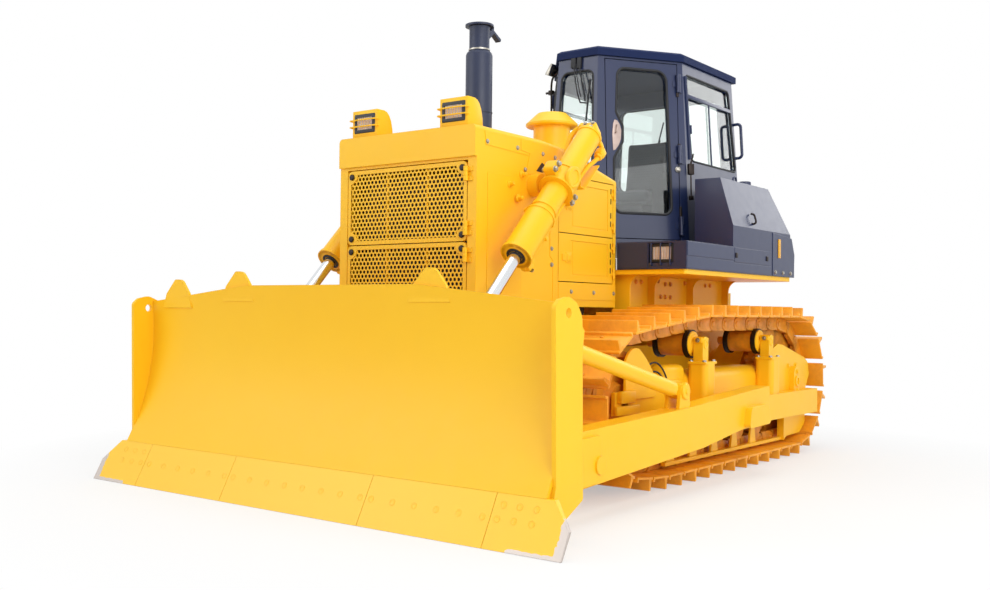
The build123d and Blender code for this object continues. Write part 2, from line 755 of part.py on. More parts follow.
def lamps():
    """Lamp boxes on the header: a rounded back, a recessed lens and two guard bars."""
    base = hood_levels[0][1] + seat_gap
    back = lamp_front + 210
    rear_arc = ThreePointArc((lamp_front + 90, lamp_top), (lamp_front + 165, lamp_top - 45), (back, base))
    edges = rear_arc + Line((back, base),
                            (lamp_front, base)) + Line((lamp_front, base), (lamp_front, lamp_top))
    edges += Line((lamp_front, lamp_top), (lamp_front + 90, lamp_top))
    box = prism_x(make_face(edges), lamp_inner, lamp_outer)
    recess = [(lamp_inner + 26, lamp_outer - 26), (base + 38, lamp_top - 26)]
    box -= block(recess[0], (lamp_front - 5, lamp_front + 45), recess[1])
    low, high = recess[1]
    for level in (low + (high - low) * 0.3, low + (high - low) * 0.7):
        box += rod((recess[0][0] - 5, lamp_front + 6, level), (recess[0][1] + 5, lamp_front + 6, level), 5)
    lens = block((recess[0][0] + 22, recess[0][1] - 22), (lamp_front + 22, lamp_front + 45 - seat_gap),
                 (low + 16, high - 16))
    return both(gather([box, lens]))


cap_pin_y = stack_y + stack_pipe + 30
cap_pin_z = stack_top + 14


def exhaust_stack():
    """Silencer on its collar, the pipe through the hood, the upper pipe and the rain cap's ears."""
    shoulder = stack_top - stack_neck
    pipe = rod((0, stack_y, engine_top + seat_gap), (0, stack_y, stack_top), stack_pipe)
    pipe += rod((0, stack_y, stack_collar_top + seat_gap), (0, stack_y, shoulder - 25), stack_muffler)
    pipe += Pos(0, stack_y, shoulder - 12.5) * Cone(stack_muffler, stack_muffler - 14, 25)
    root = stack_y + stack_pipe - 12
    ear = [(root, stack_top - 80), (cap_pin_y + 14, stack_top - 25), (cap_pin_y + 14, cap_pin_z + 14),
           (cap_pin_y - 14, cap_pin_z + 14), (cap_pin_y - 14, stack_top - 6), (root, stack_top - 6)]
    for side in (-1, 1):
        pipe += prism_x(ear, side * 22, side * 34)
    return pipe + cross_bar(-34, 34, (cap_pin_y, cap_pin_z), 8)


def rain_cap():
    """Lid with its hinge barrel and drooping counterweight paddle."""
    lid = rod((0, stack_y, stack_top + seat_gap), (0, stack_y, stack_top + 14), cap_radius)
    lid -= block((-40, 40), (cap_pin_y - 22, cap_pin_y + 40), (stack_top - 5, stack_top + 30))
    lid += block((-18, 18), (stack_y + stack_pipe - 10, cap_pin_y), (stack_top + 4, stack_top + 14))
    lid += cross_bar(-20, 20, (cap_pin_y, cap_pin_z), 15)
    paddle = rounded_outline([(cap_pin_y, cap_pin_z + 9, 0), (cap_pin_y, cap_pin_z - 9, 0),
                              (cap_pin_y + 112, cap_pin_z - 78, 6),
                              (cap_pin_y + 120, cap_pin_z - 55, 6)])
    lid += prism_x(paddle, -20, 20)
    return lid - cross_bar(-30, 30, (cap_pin_y, cap_pin_z), 8 + seat_gap)


def precleaner():
    """Intake pre-cleaner: a drum under a wide conical cap."""
    x, y = precleaner_place
    skirt = precleaner_top - 95
    body = rod((x, y, hood_z(y) + precleaner_seat + seat_gap), (x, y, skirt), precleaner_body)
    profile = [(0, skirt - 8), (precleaner_cap - 8, skirt - 8), (precleaner_cap, skirt),
               (precleaner_cap, skirt + 14),
               (precleaner_cap * 0.62, precleaner_top - 12), (precleaner_cap * 0.55, precleaner_top),
               (0, precleaner_top)]
    cap = revolve(Plane.XZ * make_face(Polyline(*profile, close=True)), Axis.Z)
    return body + Pos(x, y, 0) * cap


# ---------------------------------------------------------------- blade
ear_half = brace_eye / 2 + seat_gap
edge_lean = 1 / tan(radians(edge_angle))
edge_run = edge_thickness / sin(radians(edge_angle))            # thickness along Y
mould_foot = (edge_tip_y + edge_height * edge_lean, edge_height)
end_bit_half = blade_half + bit_overhang


def behind_edge(z):
    """Station of the cutting edge's back at a height, with the gap that it is seated by."""
    return edge_tip_y + z * edge_lean + edge_run + 2 * seat_gap


def blade():
    """Mouldboard with its end plates, rear box beams, ribs, guards, ears and lugs."""
    foot, head = Vector(*mould_foot), Vector(blade_top_y, blade_top)
    chord = head - foot
    rear = Vector(chord.Y, -chord.X).normalized()
    middle = (foot + head) * 0.5 + rear * blade_sag
    back = rear * blade_plate
    front_arc = ThreePointArc(tuple(foot)[:2], tuple(middle)[:2], tuple(head)[:2])
    rear_arc = ThreePointArc(tuple(head + back)[:2], tuple(middle + back)[:2], tuple(foot + back)[:2])
    outline = front_arc + Line(front_arc @ 1, rear_arc @ 0) + rear_arc + Line(rear_arc @ 1, front_arc @ 0)
    plate = prism_x(make_face(outline), -blade_half, blade_half)
    plate -= block((-blade_half - 1, blade_half + 1), (edge_tip_y - 20, blade_top_y),
                   (0, edge_height + seat_gap))
    # bar that the cutting edges are bolted to, and the two rear beams
    edge_bar = [(behind_edge(110), 110), (behind_edge(edge_height + 8), edge_height + 8),
                (behind_edge(edge_height + 8) + 40, edge_height + 8), (behind_edge(110) + 34, 110)]
    beam_back, web_back, web_front = blade_top_y + 180, blade_top_y + 160, blade_top_y + 30
    lower = [(edge_tip_y + 150, edge_height - 50), (edge_tip_y + 400, edge_height - 20),
             (beam_back, edge_height + 45),
             (beam_back, edge_height + 165), (web_front, edge_height + 225),
             (web_front - 70, edge_height + 215)]
    upper = [(web_front + 15, blade_top - 400), (web_back, blade_top - 370), (beam_back, blade_top - 240),
             (beam_back - 80, blade_top - 150), (web_front, blade_top - 150)]
    inside = blade_half - 5
    for beam in (edge_bar, lower, upper):
        plate += prism_x(beam, -inside, inside)
    web = [(web_front, edge_height + 215), (web_back, edge_height + 145), (web_back, blade_top - 340),
           (web_front + 15, blade_top - 370)]
    for share in (-0.92, -0.70, -0.24, 0, 0.24, 0.70, 0.92):
        plate += prism_x(web, share * blade_half - 9, share * blade_half + 9)
    # top corners cut down to the ends
    for side in (-1, 1):
        wedge = [(side * blade_crown_half, blade_top + 40), (side * blade_crown_half, blade_top),
                 (side * (blade_half + 20), blade_end_top), (side * (blade_half + 20), blade_top + 40)]
        plate -= prism_y(wedge, edge_tip_y, blade_top_y + 200)
    # guards over the cylinders' and the tilt cylinder's heads
    for x, top in ((lift_x, 1390), (-lift_x, 1390), (-arm_x, 1344)):
        base = top - 190
        hood_plate = rounded_outline([(x - 150, base, 0), (x - 118, base + 95, 0), (x - 26, top, 20),
                                      (x + 40, top, 60),
                                      (x + 118, base + 95, 60), (x + 150, base, 0)])
        plate += prism_y(hood_plate, blade_top_y + 14, blade_top_y + 34)
    foot_y, head_y, foot_z = edge_tip_y, blade_top_y, edge_height
    end = rounded_outline([
        (foot_y + 90, foot_z - 143, 0), (foot_y + 170, foot_z - 15, 0), (foot_y + 190, foot_z + 45, 40),
        (head_y - 130, blade_top - 120, 30), (head_y - 90, blade_top - 85, 30),
        (head_y - 10, blade_top - 68, 60),
        (head_y + 70, blade_top - 100, 60), (head_y + 118, blade_top - 172, 50),
        (head_y + 140, foot_z - 41, 20),
        (foot_y + 230, foot_z - 143, 20)])
    for side in (-1, 1):
        plate += prism_x(end, side * (blade_half - 5), side * (blade_half + end_plate - 5))
        plate -= cross_bar(side * (blade_half - 10), side * (blade_half + end_plate), lifting_hole,
                           lifting_hole_radius)
        # ears for the braces, and lugs that hold the lift rods' eyes between them
        y, z = brace_head
        ear = rounded_outline([(y - 80, z - 95, 0), (y + 10, z - 75, 30), (y + 62, z, 30),
                               (y + 20, z + 62, 30), (y - 110, z + 80, 0)])
        lug = rounded_outline([(blade_top_y + 40, lift_eye_z - 140, 0), (lift_eye_y, lift_eye_z - 85, 0),
                               (lift_eye_y + 80, lift_eye_z, 60),
                               (lift_eye_y, lift_eye_z + 85, 0), (blade_top_y + 45, lift_eye_z + 160, 0)])
        lug_near = lift_eye_half + 6
        pairs = ((ear, arm_x, ear_half, ear_half + ear_plate), (lug, lift_x, lug_near, lug_near + 20))
        for outline, x, near, far in pairs:
            for x0, x1 in ((x - far, x - near), (x + near, x + far)):
                plate += prism_x(outline, side * x0, side * x1)
    return plate


def edge_slab(x0, x1):
    """A slab on the cutting edge's slope between two x values, its foot ground flat."""
    head = edge_tip_y + edge_height * edge_lean
    return prism_x([(edge_tip_y, 0), (head, edge_height), (head + edge_run, edge_height),
                    (edge_tip_y + edge_run * 0.4, 0)], x0, x1)


bit_joint = end_bit_half - bit_length
edge_gap = 3.0


def cutting_edges():
    outer = edge_slab(edge_split + edge_gap / 2, bit_joint - edge_gap / 2)
    return gather([edge_slab(-edge_split + edge_gap / 2, edge_split - edge_gap / 2), outer,
                   other_side(outer)])


def end_bits():
    bit = edge_slab(bit_joint + edge_gap / 2, end_bit_half)
    clip = [(end_bit_half - 160, edge_height + 40), (end_bit_half + 40, edge_height + 40),
            (end_bit_half + 40, 85)]
    return both(bit - prism_y(clip, edge_tip_y - 20, edge_tip_y + 300))


def push_arms():
    """Box arms from the blade's lower beam back to the trunnions, with doublers, caps and brace ears."""
    x0, x1 = arm_x - arm_width / 2, arm_x + arm_width / 2
    outline = rounded_outline([
        (arm_front, arm_nose_bottom, 0), (arm_front + 551, arm_nose_bottom + 32, 0),
        (trunnion_y - 823, trunnion_z - 149, 0),
        (trunnion_y - 210, trunnion_z - 80, 0), (trunnion_y + 204, trunnion_z - 73, 40),
        (arm_rear, arm_tail_bottom, 40),
        (arm_rear, arm_tail_top, 20), (brace_foot[0] + 39, brace_foot[1] - 106, 0),
        (arm_front, arm_nose_top, 0)])
    arm = prism_x(outline, x0, x1)
    front, low = arm_front, arm_nose_bottom
    nose = rounded_outline([
        (front + 20, low + 20, 0), (front + 460, low + 42, 60), (front + 525, low + 128, 60),
        (front + 485, low + 198, 20),
        (front + 500, arm_nose_top - 18, 30), (front + 20, arm_nose_top - 33, 0)])
    arm += prism_x(nose, x1 - 1, x1 + 22)
    arm += cross_bar(x1, x1 + 34, (front + 473, low + 138), 52)
    spot_y, spot_z = trunnion_y, trunnion_z
    cap = rounded_outline([(spot_y - 190, spot_z - 73, 30), (spot_y + 200, spot_z - 63, 30),
                           (spot_y + 150, spot_z + 80, 30),
                           (spot_y - 150, spot_z + 73, 30)])
    arm += prism_x(cap, x1 - 1, x1 + 48)
    arm -= cross_bar(x0 - 5, x1 - 22, (trunnion_y, trunnion_z), trunnion_radius + seat_gap)
    y, z = brace_foot
    ear = rounded_outline([(y - 78, z - 127, 0), (y + 78, z - 127, 0), (y + 66, z + 40, 30),
                           (y + 20, z + 58, 30), (y - 50, z + 50, 30)])
    for x0, x1 in ((arm_x - ear_half - ear_plate, arm_x - ear_half),
                   (arm_x + ear_half, arm_x + ear_half + ear_plate)):
        arm += prism_x(ear, x0, x1)
        arm += cross_bar(arm_x - ear_half, arm_x + ear_half, brace_foot, 30)
    return both(arm)


def strut(x, sections):
    """A strut between the brace's pins: an eye at each end and round sections between them."""
    head, foot = Vector(x, *brace_head), Vector(x, *brace_foot)
    way = (foot - head).normalized()
    length = (foot - head).length
    eye_length = 110
    part = None
    for start, end, radius in sections(length):
        piece = rod(tuple(head + way * start), tuple(head + way * end), radius)
        part = piece if part is None else part + piece
    for spot in (brace_head, brace_foot):
        part += cross_bar(x - brace_eye / 2, x + brace_eye / 2, spot, 50)
    for start in (0, length - eye_length):
        seat = Plane(origin=head + way * start, x_dir=(1, 0, 0), z_dir=way)
        part += seat * Pos(0, 0, eye_length / 2) * Box(brace_eye, 70, eye_length)
    for spot in (brace_head, brace_foot):
        part -= cross_bar(x - brace_eye, x + brace_eye, spot, 30 + seat_gap)
    return part


def brace_tube():
    return strut(arm_x, lambda length: [(90, length - 90, brace_radius)])


def tilt_cylinder():
    return strut(-arm_x, lambda length: [(80, length * 0.4, 36), (length * 0.38, length - 90, 70)])


# ---------------------------------------------------------------- lift cylinders
lift_axis = Vector(0, lift_eye_y - lift_pivot_y, lift_eye_z - lift_pivot_z).normalized()
lift_pivot = Vector(lift_x, lift_pivot_y, lift_pivot_z)
lift_eye = Vector(lift_x, lift_eye_y, lift_eye_z)
lift_length = (lift_eye - lift_pivot).length
lift_inner_end = lift_end_wall - lift_tail


def lift_bar(start, end, radius):
    """A round stretch of the left lift cylinder, between two distances from its pivot."""
    return rod(tuple(lift_pivot + lift_axis * start), tuple(lift_pivot + lift_axis * end), radius)


def lift_barrel():
    """Barrel with its banded collar, trunnion pin towards the hood, sleeve and gland."""
    barrel = lift_bar(-lift_tail, lift_gland * 0.5, lift_barrel_radius)
    barrel += lift_bar(lift_gland * 0.48, lift_gland, lift_sleeve_radius)
    barrel += lift_bar(-60, 60, lift_collar_radius)
    # bolt lugs of the split collar, before and behind the barrel
    seat = Plane(origin=lift_pivot, x_dir=(1, 0, 0), z_dir=lift_axis)
    reach = lift_collar_radius + 52
    lugs = fillet(Box(76, 2 * reach, 96).edges().filter_by(Axis.X), 22)
    barrel += seat * lugs
    spot = (lift_pivot_y, lift_pivot_z)
    barrel += cross_bar(lift_x - lift_barrel_radius, guard_half + 16, spot, lift_pin)
    return barrel - lift_bar(lift_inner_end, lift_gland + 1, lift_rod_radius + seat_gap)


def lift_rod():
    """Rod from its drawn-in end in the barrel to the eye between the blade's lugs."""
    bar = lift_bar(lift_inner_end + lift_draw + 3, lift_length - 50, lift_rod_radius)
    spot = (lift_eye_y, lift_eye_z)
    bar += cross_bar(lift_x - lift_eye_half, lift_x + lift_eye_half, spot, 75)
    return bar


# ---------------------------------------------------------------- platform, fenders and cab
def platform():
    """Yellow frame under the fenders: edge flange, side walls, curved ribs and the rear gussets."""
    top = fender_bottom - seat_gap
    flange = fender_bottom - flange_drop
    reach = fender_outer - flange_margin
    deck = rounded_outline([(-reach, fender_front + 10, 20), (reach, fender_front + 10, 20),
                            (reach, fender_rear, 90),
                            (-reach, fender_rear, 90)])
    frame = prism_z(deck, flange, top)
    frame += block((-hull_half, hull_half), (case_front, case_rear - 200), (case_top + seat_gap, flange + 5))
    for side in (-1, 1):
        near = side * (hull_half + seat_gap)
        wall_edges = ThreePointArc((case_rear - 120, flange + 5), (case_rear - 230, flange - 70),
                                   (case_rear - 320, platform_foot))
        wall_edges += Line((case_rear - 320, platform_foot), (rib_ys[0], platform_foot))
        wall_edges += Line((rib_ys[0], platform_foot), (rib_ys[0], flange + 5))
        wall_edges += Line((rib_ys[0], flange + 5), (case_rear - 120, flange + 5))
        frame += prism_x(make_face(wall_edges), side * (platform_wall - 16), side * platform_wall)
        edge = side * rib_half
        arc = ThreePointArc((edge, flange - rib_curve),
                            (side * (rib_half + rib_curve * 0.293), flange - rib_curve * 0.293),
                            (side * (rib_half + rib_curve), flange))
        outline = Line((near, flange + 5),
                       (near, platform_foot)) + Line((near, platform_foot), (edge, platform_foot))
        outline += Line((edge, platform_foot), (edge, flange - rib_curve)) + arc
        outline += Line((side * (rib_half + rib_curve), flange), (side * (rib_half + rib_curve), flange + 5))
        outline += Line((side * (rib_half + rib_curve), flange + 5), (near, flange + 5))
        rib = make_face(outline)
        for y in rib_ys:
            frame += prism_y(rib, y - 8, y + 8)
    return frame


def fenders():
    """Side boxes with their headlamp recesses, and the tanks behind the cab doors."""
    box = block((fender_inner, fender_outer), (fender_front, fender_rear), (fender_bottom, fender_top))
    box -= block((fender_lamp[0], fender_lamp[1]), (fender_front - 5, fender_front + 60),
                 (fender_lamp[2], fender_lamp[3]))
    for share in (0.12, 0.5, 0.88):
        x = fender_lamp[0] + (fender_lamp[1] - fender_lamp[0]) * share
        box += rod((x, fender_front - 12, fender_lamp[2] - 16), (x, fender_front - 12, fender_lamp[3] - 4),
                   5)
        for z in (fender_lamp[2] - 16, fender_lamp[3] - 4):
            box += rod((x, fender_front - 16, z), (x, fender_front + 4, z), 5)
    crease, top = fender_top + tank_crease_rise, fender_top + tank_rise
    lean = [(tank_inner, fender_top - 5), (fender_outer, fender_top - 5), (fender_outer, crease),
            (fender_outer - tank_lean, top), (tank_inner, top)]
    tank = prism_y(lean, tank_front, fender_rear)
    rear_crease = fender_rear - 99
    slope = [(rear_crease - 221, top + 5), (rear_crease, crease), (fender_rear + 5, fender_bottom + 10),
             (fender_rear + 60, top + 5)]
    tank -= prism_x(slope, tank_inner - 5, fender_outer + 5)
    lens = block((fender_lamp[0] + 30, fender_lamp[1] - 30),
                 (fender_front + 30, fender_front + 60 - seat_gap),
                 (fender_lamp[2] + 30, fender_lamp[3] - 30))
    return both(gather([box + tank, lens]))


def cab_plan(z, inset=0.0):
    """Corner points of the cab's outline at a height, walls set in by inset."""
    rise = z - cab_floor
    lean = rise * cab_taper + inset
    slope_length = sqrt(1 + cab_face_slope ** 2)
    half = cab_half - lean
    front = cab_front_y + lean
    # the angled wall moves in square to itself
    corner_y = cab_front_y + (cab_half - cab_front_half) * cab_face_slope
    shifted = corner_y - cab_face_slope * cab_half + lean * slope_length
    front_half = (front - shifted) / cab_face_slope
    side_y = shifted + cab_face_slope * half
    rear = cab_rear - rise * cab_rear_taper - inset
    return [(-front_half, front), (front_half, front), (half, side_y), (half, rear), (-half, rear),
            (-half, side_y)]


def cab_solid(inset, low, high):
    bottom = Pos(0, 0, low) * make_face(Polyline(*cab_plan(low, inset), close=True))
    top = Pos(0, 0, high) * make_face(Polyline(*cab_plan(high, inset), close=True))
    return loft([bottom, top], ruled=True)


def wall_plane(first, second):
    """Plane on a wall's outside, from its middle at the floor: x along the wall, y up it, z outwards."""
    low, high = cab_plan(cab_floor), cab_plan(cab_eaves)
    a, b = Vector(*low[first], cab_floor), Vector(*low[second], cab_floor)
    c, d = Vector(*high[first], cab_eaves), Vector(*high[second], cab_eaves)
    along = (b - a).normalized()
    up = (c + d) * 0.5 - (a + b) * 0.5
    up = up - along * up.dot(along)
    return Plane(origin=(a + b) * 0.5, x_dir=along, z_dir=along.cross(up)), (b - a).length, up.length


front_wall, front_len, wall_up = wall_plane(0, 1)
door_wall, door_wall_len, _ = wall_plane(1, 2)
side_wall, side_len, _ = wall_plane(2, 3)
rear_wall, rear_len, _ = wall_plane(3, 4)

door_x0, door_x1 = 112 - door_wall_len / 2, 743 - door_wall_len / 2
door_y0, door_y1 = 72.0, wall_up - 25.0


def wall_cut(wall, outline):
    """A tool that cuts an outline through a wall."""
    return extrude(wall.offset(2 * glass_depth) * outline, -4 * cab_wall)


def wall_slab(wall, outline, outside, inside):
    """A slab in a wall, between two depths under its face."""
    return extrude(wall.offset(-outside) * outline, -(inside - outside))


def inset_outline(corners, margin):
    """Corners (x, y, radius) of a convex outline moved outwards by a margin from their middle."""
    mid_x = sum(x for x, _, _ in corners) / len(corners)
    mid_y = sum(y for _, y, _ in corners) / len(corners)
    return rounded_outline([(x + (margin if x > mid_x else -margin),
                             y + (margin if y > mid_y else -margin), r)
                            for x, y, r in corners])


def door_outline(gap=0.0):
    return inset_outline([(door_x0, door_y0, 0), (door_x1, door_y0, 0), (door_x1, door_y1, 0),
                          (door_x0, door_y1, 0)], gap)


def door_pane(margin=0.0):
    """The door's window, whose front edge steps back round the handle."""
    low, top, left, right = 270.0, door_y1 - 62, door_x0 + 54, door_x1 - 66
    bump = [low + share * (top - low) for share in (0.3737, 0.488, 0.597, 0.6916)]
    corners = [(left, low, 70), (right, low, 70), (right - 28, top, 90), (left + 50, top, 70),
               (left + 32, bump[3], 40),
               (left + 88, bump[2], 40), (left + 86, bump[1], 40), (left + 8, bump[0], 40)]
    return inset_outline(corners, margin)


def windscreen(margin=0.0):
    half, top = 158.0, wall_up - 112
    return inset_outline([(-half - 12, 620, 60), (half + 12, 620, 60), (half - 12, top, 60),
                          (12 - half, top, 60)], margin)


def side_pane(margin=0.0):
    low, top = 726.0, wall_up - 92
    front, rear = -side_len / 2, side_len / 2
    return inset_outline([(front + 124, low, 40), (rear - 42, low, 40), (rear - 120, top, 40),
                          (front + 76, top, 40)], margin)


def rear_pane(margin=0.0):
    half, top = rear_len / 2 - 180, wall_up - 150
    return inset_outline([(-half, 620, 60), (half, 620, 60), (half - 40, top, 60), (40 - half, top, 60)],
                         margin)


cab_hinge_lift = 20.0
cab_hinge_pin = door_wall.origin + door_wall.x_dir * (door_x1 + door_gap / 2)
cab_hinge_pin += door_wall.z_dir * cab_hinge_lift
cab_hinges = [hinge(cab_hinge_pin + door_wall.y_dir * up, door_wall.x_dir, door_wall.z_dir, 150,
                    cab_hinge_lift, 42)
              for up in (180, 760, 1340)]


def cab_shell():
    """Hollow cab body with its floor, open above, the door and window openings cut."""
    shell = cab_solid(0, cab_floor, cab_eaves) - cab_solid(cab_wall, cab_floor + cab_floor_plate,
                                                           cab_eaves + 1)
    for cut in (wall_cut(door_wall, door_outline(door_gap)), wall_cut(side_wall, side_pane())):
        shell -= cut
        shell -= other_side(cut)
    shell -= wall_cut(front_wall, windscreen())
    shell -= wall_cut(rear_wall, rear_pane())
    for fixed, _ in cab_hinges:
        shell += fixed
        shell += other_side(fixed)
    return shell


def cab_glass():
    """Fixed panes, each with a seat gap round it."""
    depth = (glass_depth, glass_depth + glass_thickness)
    side = wall_slab(side_wall, side_pane(-seat_gap), *depth)
    return gather([wall_slab(front_wall, windscreen(-seat_gap), *depth), side, other_side(side),
                   wall_slab(rear_wall, rear_pane(-seat_gap), *depth)])


def cab_door():
    """Left door: a slab with its window, hung on its rear edge."""
    door = wall_slab(door_wall, door_outline(), 0, cab_wall) - wall_cut(door_wall, door_pane())
    for _, moving in cab_hinges:
        door += moving
    return door


def door_glass():
    return wall_slab(door_wall, door_pane(-seat_gap), glass_depth, glass_depth + glass_thickness)


def cab_roof():
    """Roof with an upright fascia and a shallow sloping top edge."""
    def ring(z, reach, rear):
        plan = cab_plan(cab_eaves, -reach)
        return Pos(0, 0,
                   z) * make_face(Polyline(*[(x, min(y, rear) if y < 1500 else rear) for x, y in plan],
                                           close=True))

    low = cab_eaves + seat_gap
    mid = cab_eaves + roof_fascia
    body = extrude(ring(low, roof_overhang, roof_rear), mid - low)
    return body + loft([ring(mid, roof_overhang, roof_rear),
                        ring(cab_eaves + roof_rise, roof_overhang - 32, roof_rear - 32)], ruled=True)


def grab_rails():
    """Bent rails behind the cab doors, their feet on the cab's side walls."""
    foot = side_wall.origin + side_wall.x_dir * (side_len / 2 - 50) + side_wall.z_dir * seat_gap
    low, high = foot + side_wall.y_dir * rail_low, foot + side_wall.y_dir * rail_high
    out = side_wall.z_dir * 70
    path = FilletPolyline(low, low + out, high + out, high, radius=32)
    rail = sweep(Plane(origin=low, z_dir=side_wall.z_dir) * Circle(13), path=path)
    return both(rail)


def seat():
    """Operator's seat: pedestal, cushion and back."""
    cushion_top = cab_floor + 530
    cushion = block((-250, 250), (1050, 1560), (cushion_top - 120, cushion_top))
    back = block((-240, 240), (1480, 1610), (cushion_top + seat_gap, cushion_top + 620))
    base = block((-180, 180), (1120, 1500), (cab_floor + cab_floor_plate + seat_gap, cushion_top - 119))
    return cushion + back + base


def controls():
    """Dashboard, two side consoles and a lever on each."""
    floor = cab_floor + cab_floor_plate + seat_gap
    parts = [block((-180, 180), (cab_front_y + 120, cab_front_y + 260), (floor, cab_floor + 660))]
    for side in (-1, 1):
        console = block(sorted((side * 300, side * 440)), (1050, 1500), (floor, cab_floor + 610))
        lever = rod((side * 370, 1150, cab_floor + 600), (side * 360, 1110, cab_floor + 780), 14)
        parts.append(console + lever)
    return gather(parts)


# ---------------------------------------------------------------- build everything
os.makedirs("parts", exist_ok=True)

left_track = track()
left_frame = track_frame()
left_barrel = lift_barrel()
left_rod = lift_rod()
left_door = cab_door()
left_pane = door_glass()
upper_door, lower_door = [side_door(low, high) for low, high in side_door_levels]
rollers = [roller(y, roller_z, roller_radius, roller_shaft, roller_reach) for y in roller_ys]
rollers += [roller(y, z, carrier_radius, carrier_shaft, carrier_reach_x) for y,
            z in zip(carrier_ys, carrier_zs)]

frames = {
    "belly_frame": belly_frame(),
    "engine_block": engine_block(),
    "radiator_core": radiator_core(),
    "radiator_guard": radiator_guard(),
    "hood": hood(),
    "engine_door_upper_left": upper_door,
    "engine_door_upper_right": other_side(upper_door),
    "engine_door_lower_left": lower_door,
    "engine_door_lower_right": other_side(lower_door),
    "grille_upper": grille_door(*grille_levels[0]),
    "grille_lower": grille_door(*grille_levels[1]),
    "track_left": left_track,
    "track_right": other_side(left_track),
    "track_frame_left": left_frame,
    "track_frame_right": other_side(left_frame),
    "sprockets": both(sprocket()),
    "idlers": both(idler()),
    "rollers": both(gather(rollers)),
    "final_drives": both(final_drive()),
    "blade": blade(),
    "cutting_edges": cutting_edges(),
    "end_bits": end_bits(),
    "push_arms": push_arms(),
    "brace_tube": brace_tube(),
    "tilt_cylinder": tilt_cylinder(),
    "lift_barrel_left": left_barrel,
    "lift_barrel_right": other_side(left_barrel),
    "lift_rod_left": left_rod,
    "lift_rod_right": other_side(left_rod),
    "platform": platform(),
    "fenders": fenders(),
    "cab_shell": cab_shell(),
    "cab_glass": cab_glass(),
    "cab_roof": cab_roof(),
    "cab_door_left": left_door,
    "cab_door_right": other_side(left_door),
    "door_glass_left": left_pane,
    "door_glass_right": other_side(left_pane),
    "seat": seat(),
    "controls": controls(),
    "exhaust_stack": exhaust_stack(),
    "rain_cap": rain_cap(),
    "precleaner": precleaner(),
    "lamps": lamps(),
    "grab_rails": grab_rails(),
    "drawbar": drawbar(),
}
for name, part in frames.items():
    save(name, part)
print(f"pitch {pitch:.1f}, {len(frames)} nodes")
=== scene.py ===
# %% [markdown]
# # A crawler bulldozer, dressed for its portrait
# The construction of the machine comes in as a fixed frame: every plate, pin and wheel already
# has its real size and place, in metres, with the blade towards -Y and the machine's left side
# towards +X.  This notebook gives it what a hand would see and feel: paint, rubber, glass, bolts,
# hoses and the perforated sheet of the radiator doors.

# %% Load the frame
import bpy
import bmesh
import math
from mathutils import Matrix, Vector


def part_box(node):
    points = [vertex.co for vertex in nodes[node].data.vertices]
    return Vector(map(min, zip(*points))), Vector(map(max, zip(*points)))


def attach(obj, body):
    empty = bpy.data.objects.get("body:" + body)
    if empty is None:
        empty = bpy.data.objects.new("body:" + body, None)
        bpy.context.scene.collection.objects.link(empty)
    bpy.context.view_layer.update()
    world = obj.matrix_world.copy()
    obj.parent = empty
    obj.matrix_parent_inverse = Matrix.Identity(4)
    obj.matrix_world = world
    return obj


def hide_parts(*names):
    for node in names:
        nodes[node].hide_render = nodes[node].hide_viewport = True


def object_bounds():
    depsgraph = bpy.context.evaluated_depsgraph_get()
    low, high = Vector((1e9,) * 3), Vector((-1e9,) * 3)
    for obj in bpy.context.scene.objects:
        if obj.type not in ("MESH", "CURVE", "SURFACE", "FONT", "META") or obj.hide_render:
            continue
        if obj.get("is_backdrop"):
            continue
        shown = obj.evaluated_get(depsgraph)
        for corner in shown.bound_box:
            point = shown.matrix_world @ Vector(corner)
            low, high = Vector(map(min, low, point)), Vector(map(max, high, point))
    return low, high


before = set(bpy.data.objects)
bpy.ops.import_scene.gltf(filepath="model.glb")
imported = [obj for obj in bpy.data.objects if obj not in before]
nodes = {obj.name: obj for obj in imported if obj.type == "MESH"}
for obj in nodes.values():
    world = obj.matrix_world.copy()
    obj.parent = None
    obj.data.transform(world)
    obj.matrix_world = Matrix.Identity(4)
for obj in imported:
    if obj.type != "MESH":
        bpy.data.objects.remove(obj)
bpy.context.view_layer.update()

# %% [markdown]
# ## Colour and nodes
# Colours are given as sRGB hex values, but a renderer works in linear light, so one
# function converts them.  Two more add a node and fill its sockets with values or links: every
# material below is built from those three.

# %% Colour and node helpers
def linear(hex_code):
    """sRGB hex to linear RGBA."""
    parts = [int(hex_code[i:i + 2], 16) / 255 for i in (1, 3, 5)]
    return tuple(c / 12.92 if c <= 0.04045 else ((c + 0.055) / 1.055) ** 2.4 for c in parts) + (1.0,)


def fill(tree, node, **sockets):
    """Fills a node's sockets with values or with other nodes' outputs."""
    for key, value in sockets.items():
        socket = node.inputs[int(key[1:])] if key[1:].isdigit() else node.inputs[key.replace("_", " ")]
        if isinstance(value, bpy.types.NodeSocket):
            tree.links.new(value, socket)
        else:
            socket.default_value = value


def add(tree, kind, settings=None, **sockets):
    """Adds a shader node, sets its properties and fills its sockets."""
    made = tree.nodes.new("ShaderNode" + kind)
    for key, value in (settings or {}).items():
        setattr(made, key, value)
    fill(tree, made, **sockets)
    return made


def new_material(name):
    """An empty node material with its output, shader and object coordinates in place."""
    made = bpy.data.materials.new(name)
    made.use_nodes = True
    tree = made.node_tree
    tree.nodes.clear()
    shader = add(tree, "BsdfPrincipled")
    add(tree, "OutputMaterial", Surface=shader.outputs[0])
    place = add(tree, "TexCoord").outputs["Object"]
    return made, tree, shader, place


def per_mm(size):
    """Texture scale that gives a pattern of this size in millimetres."""
    return 1000.0 / size


# %% [markdown]
# ## Camera
# The machine stands three-quarters on, seen from about chest height, with a lens close to the
# eye's own.  The lens is shifted a hair sideways instead of turning the camera, which keeps the
# uprights of the cab where they are.

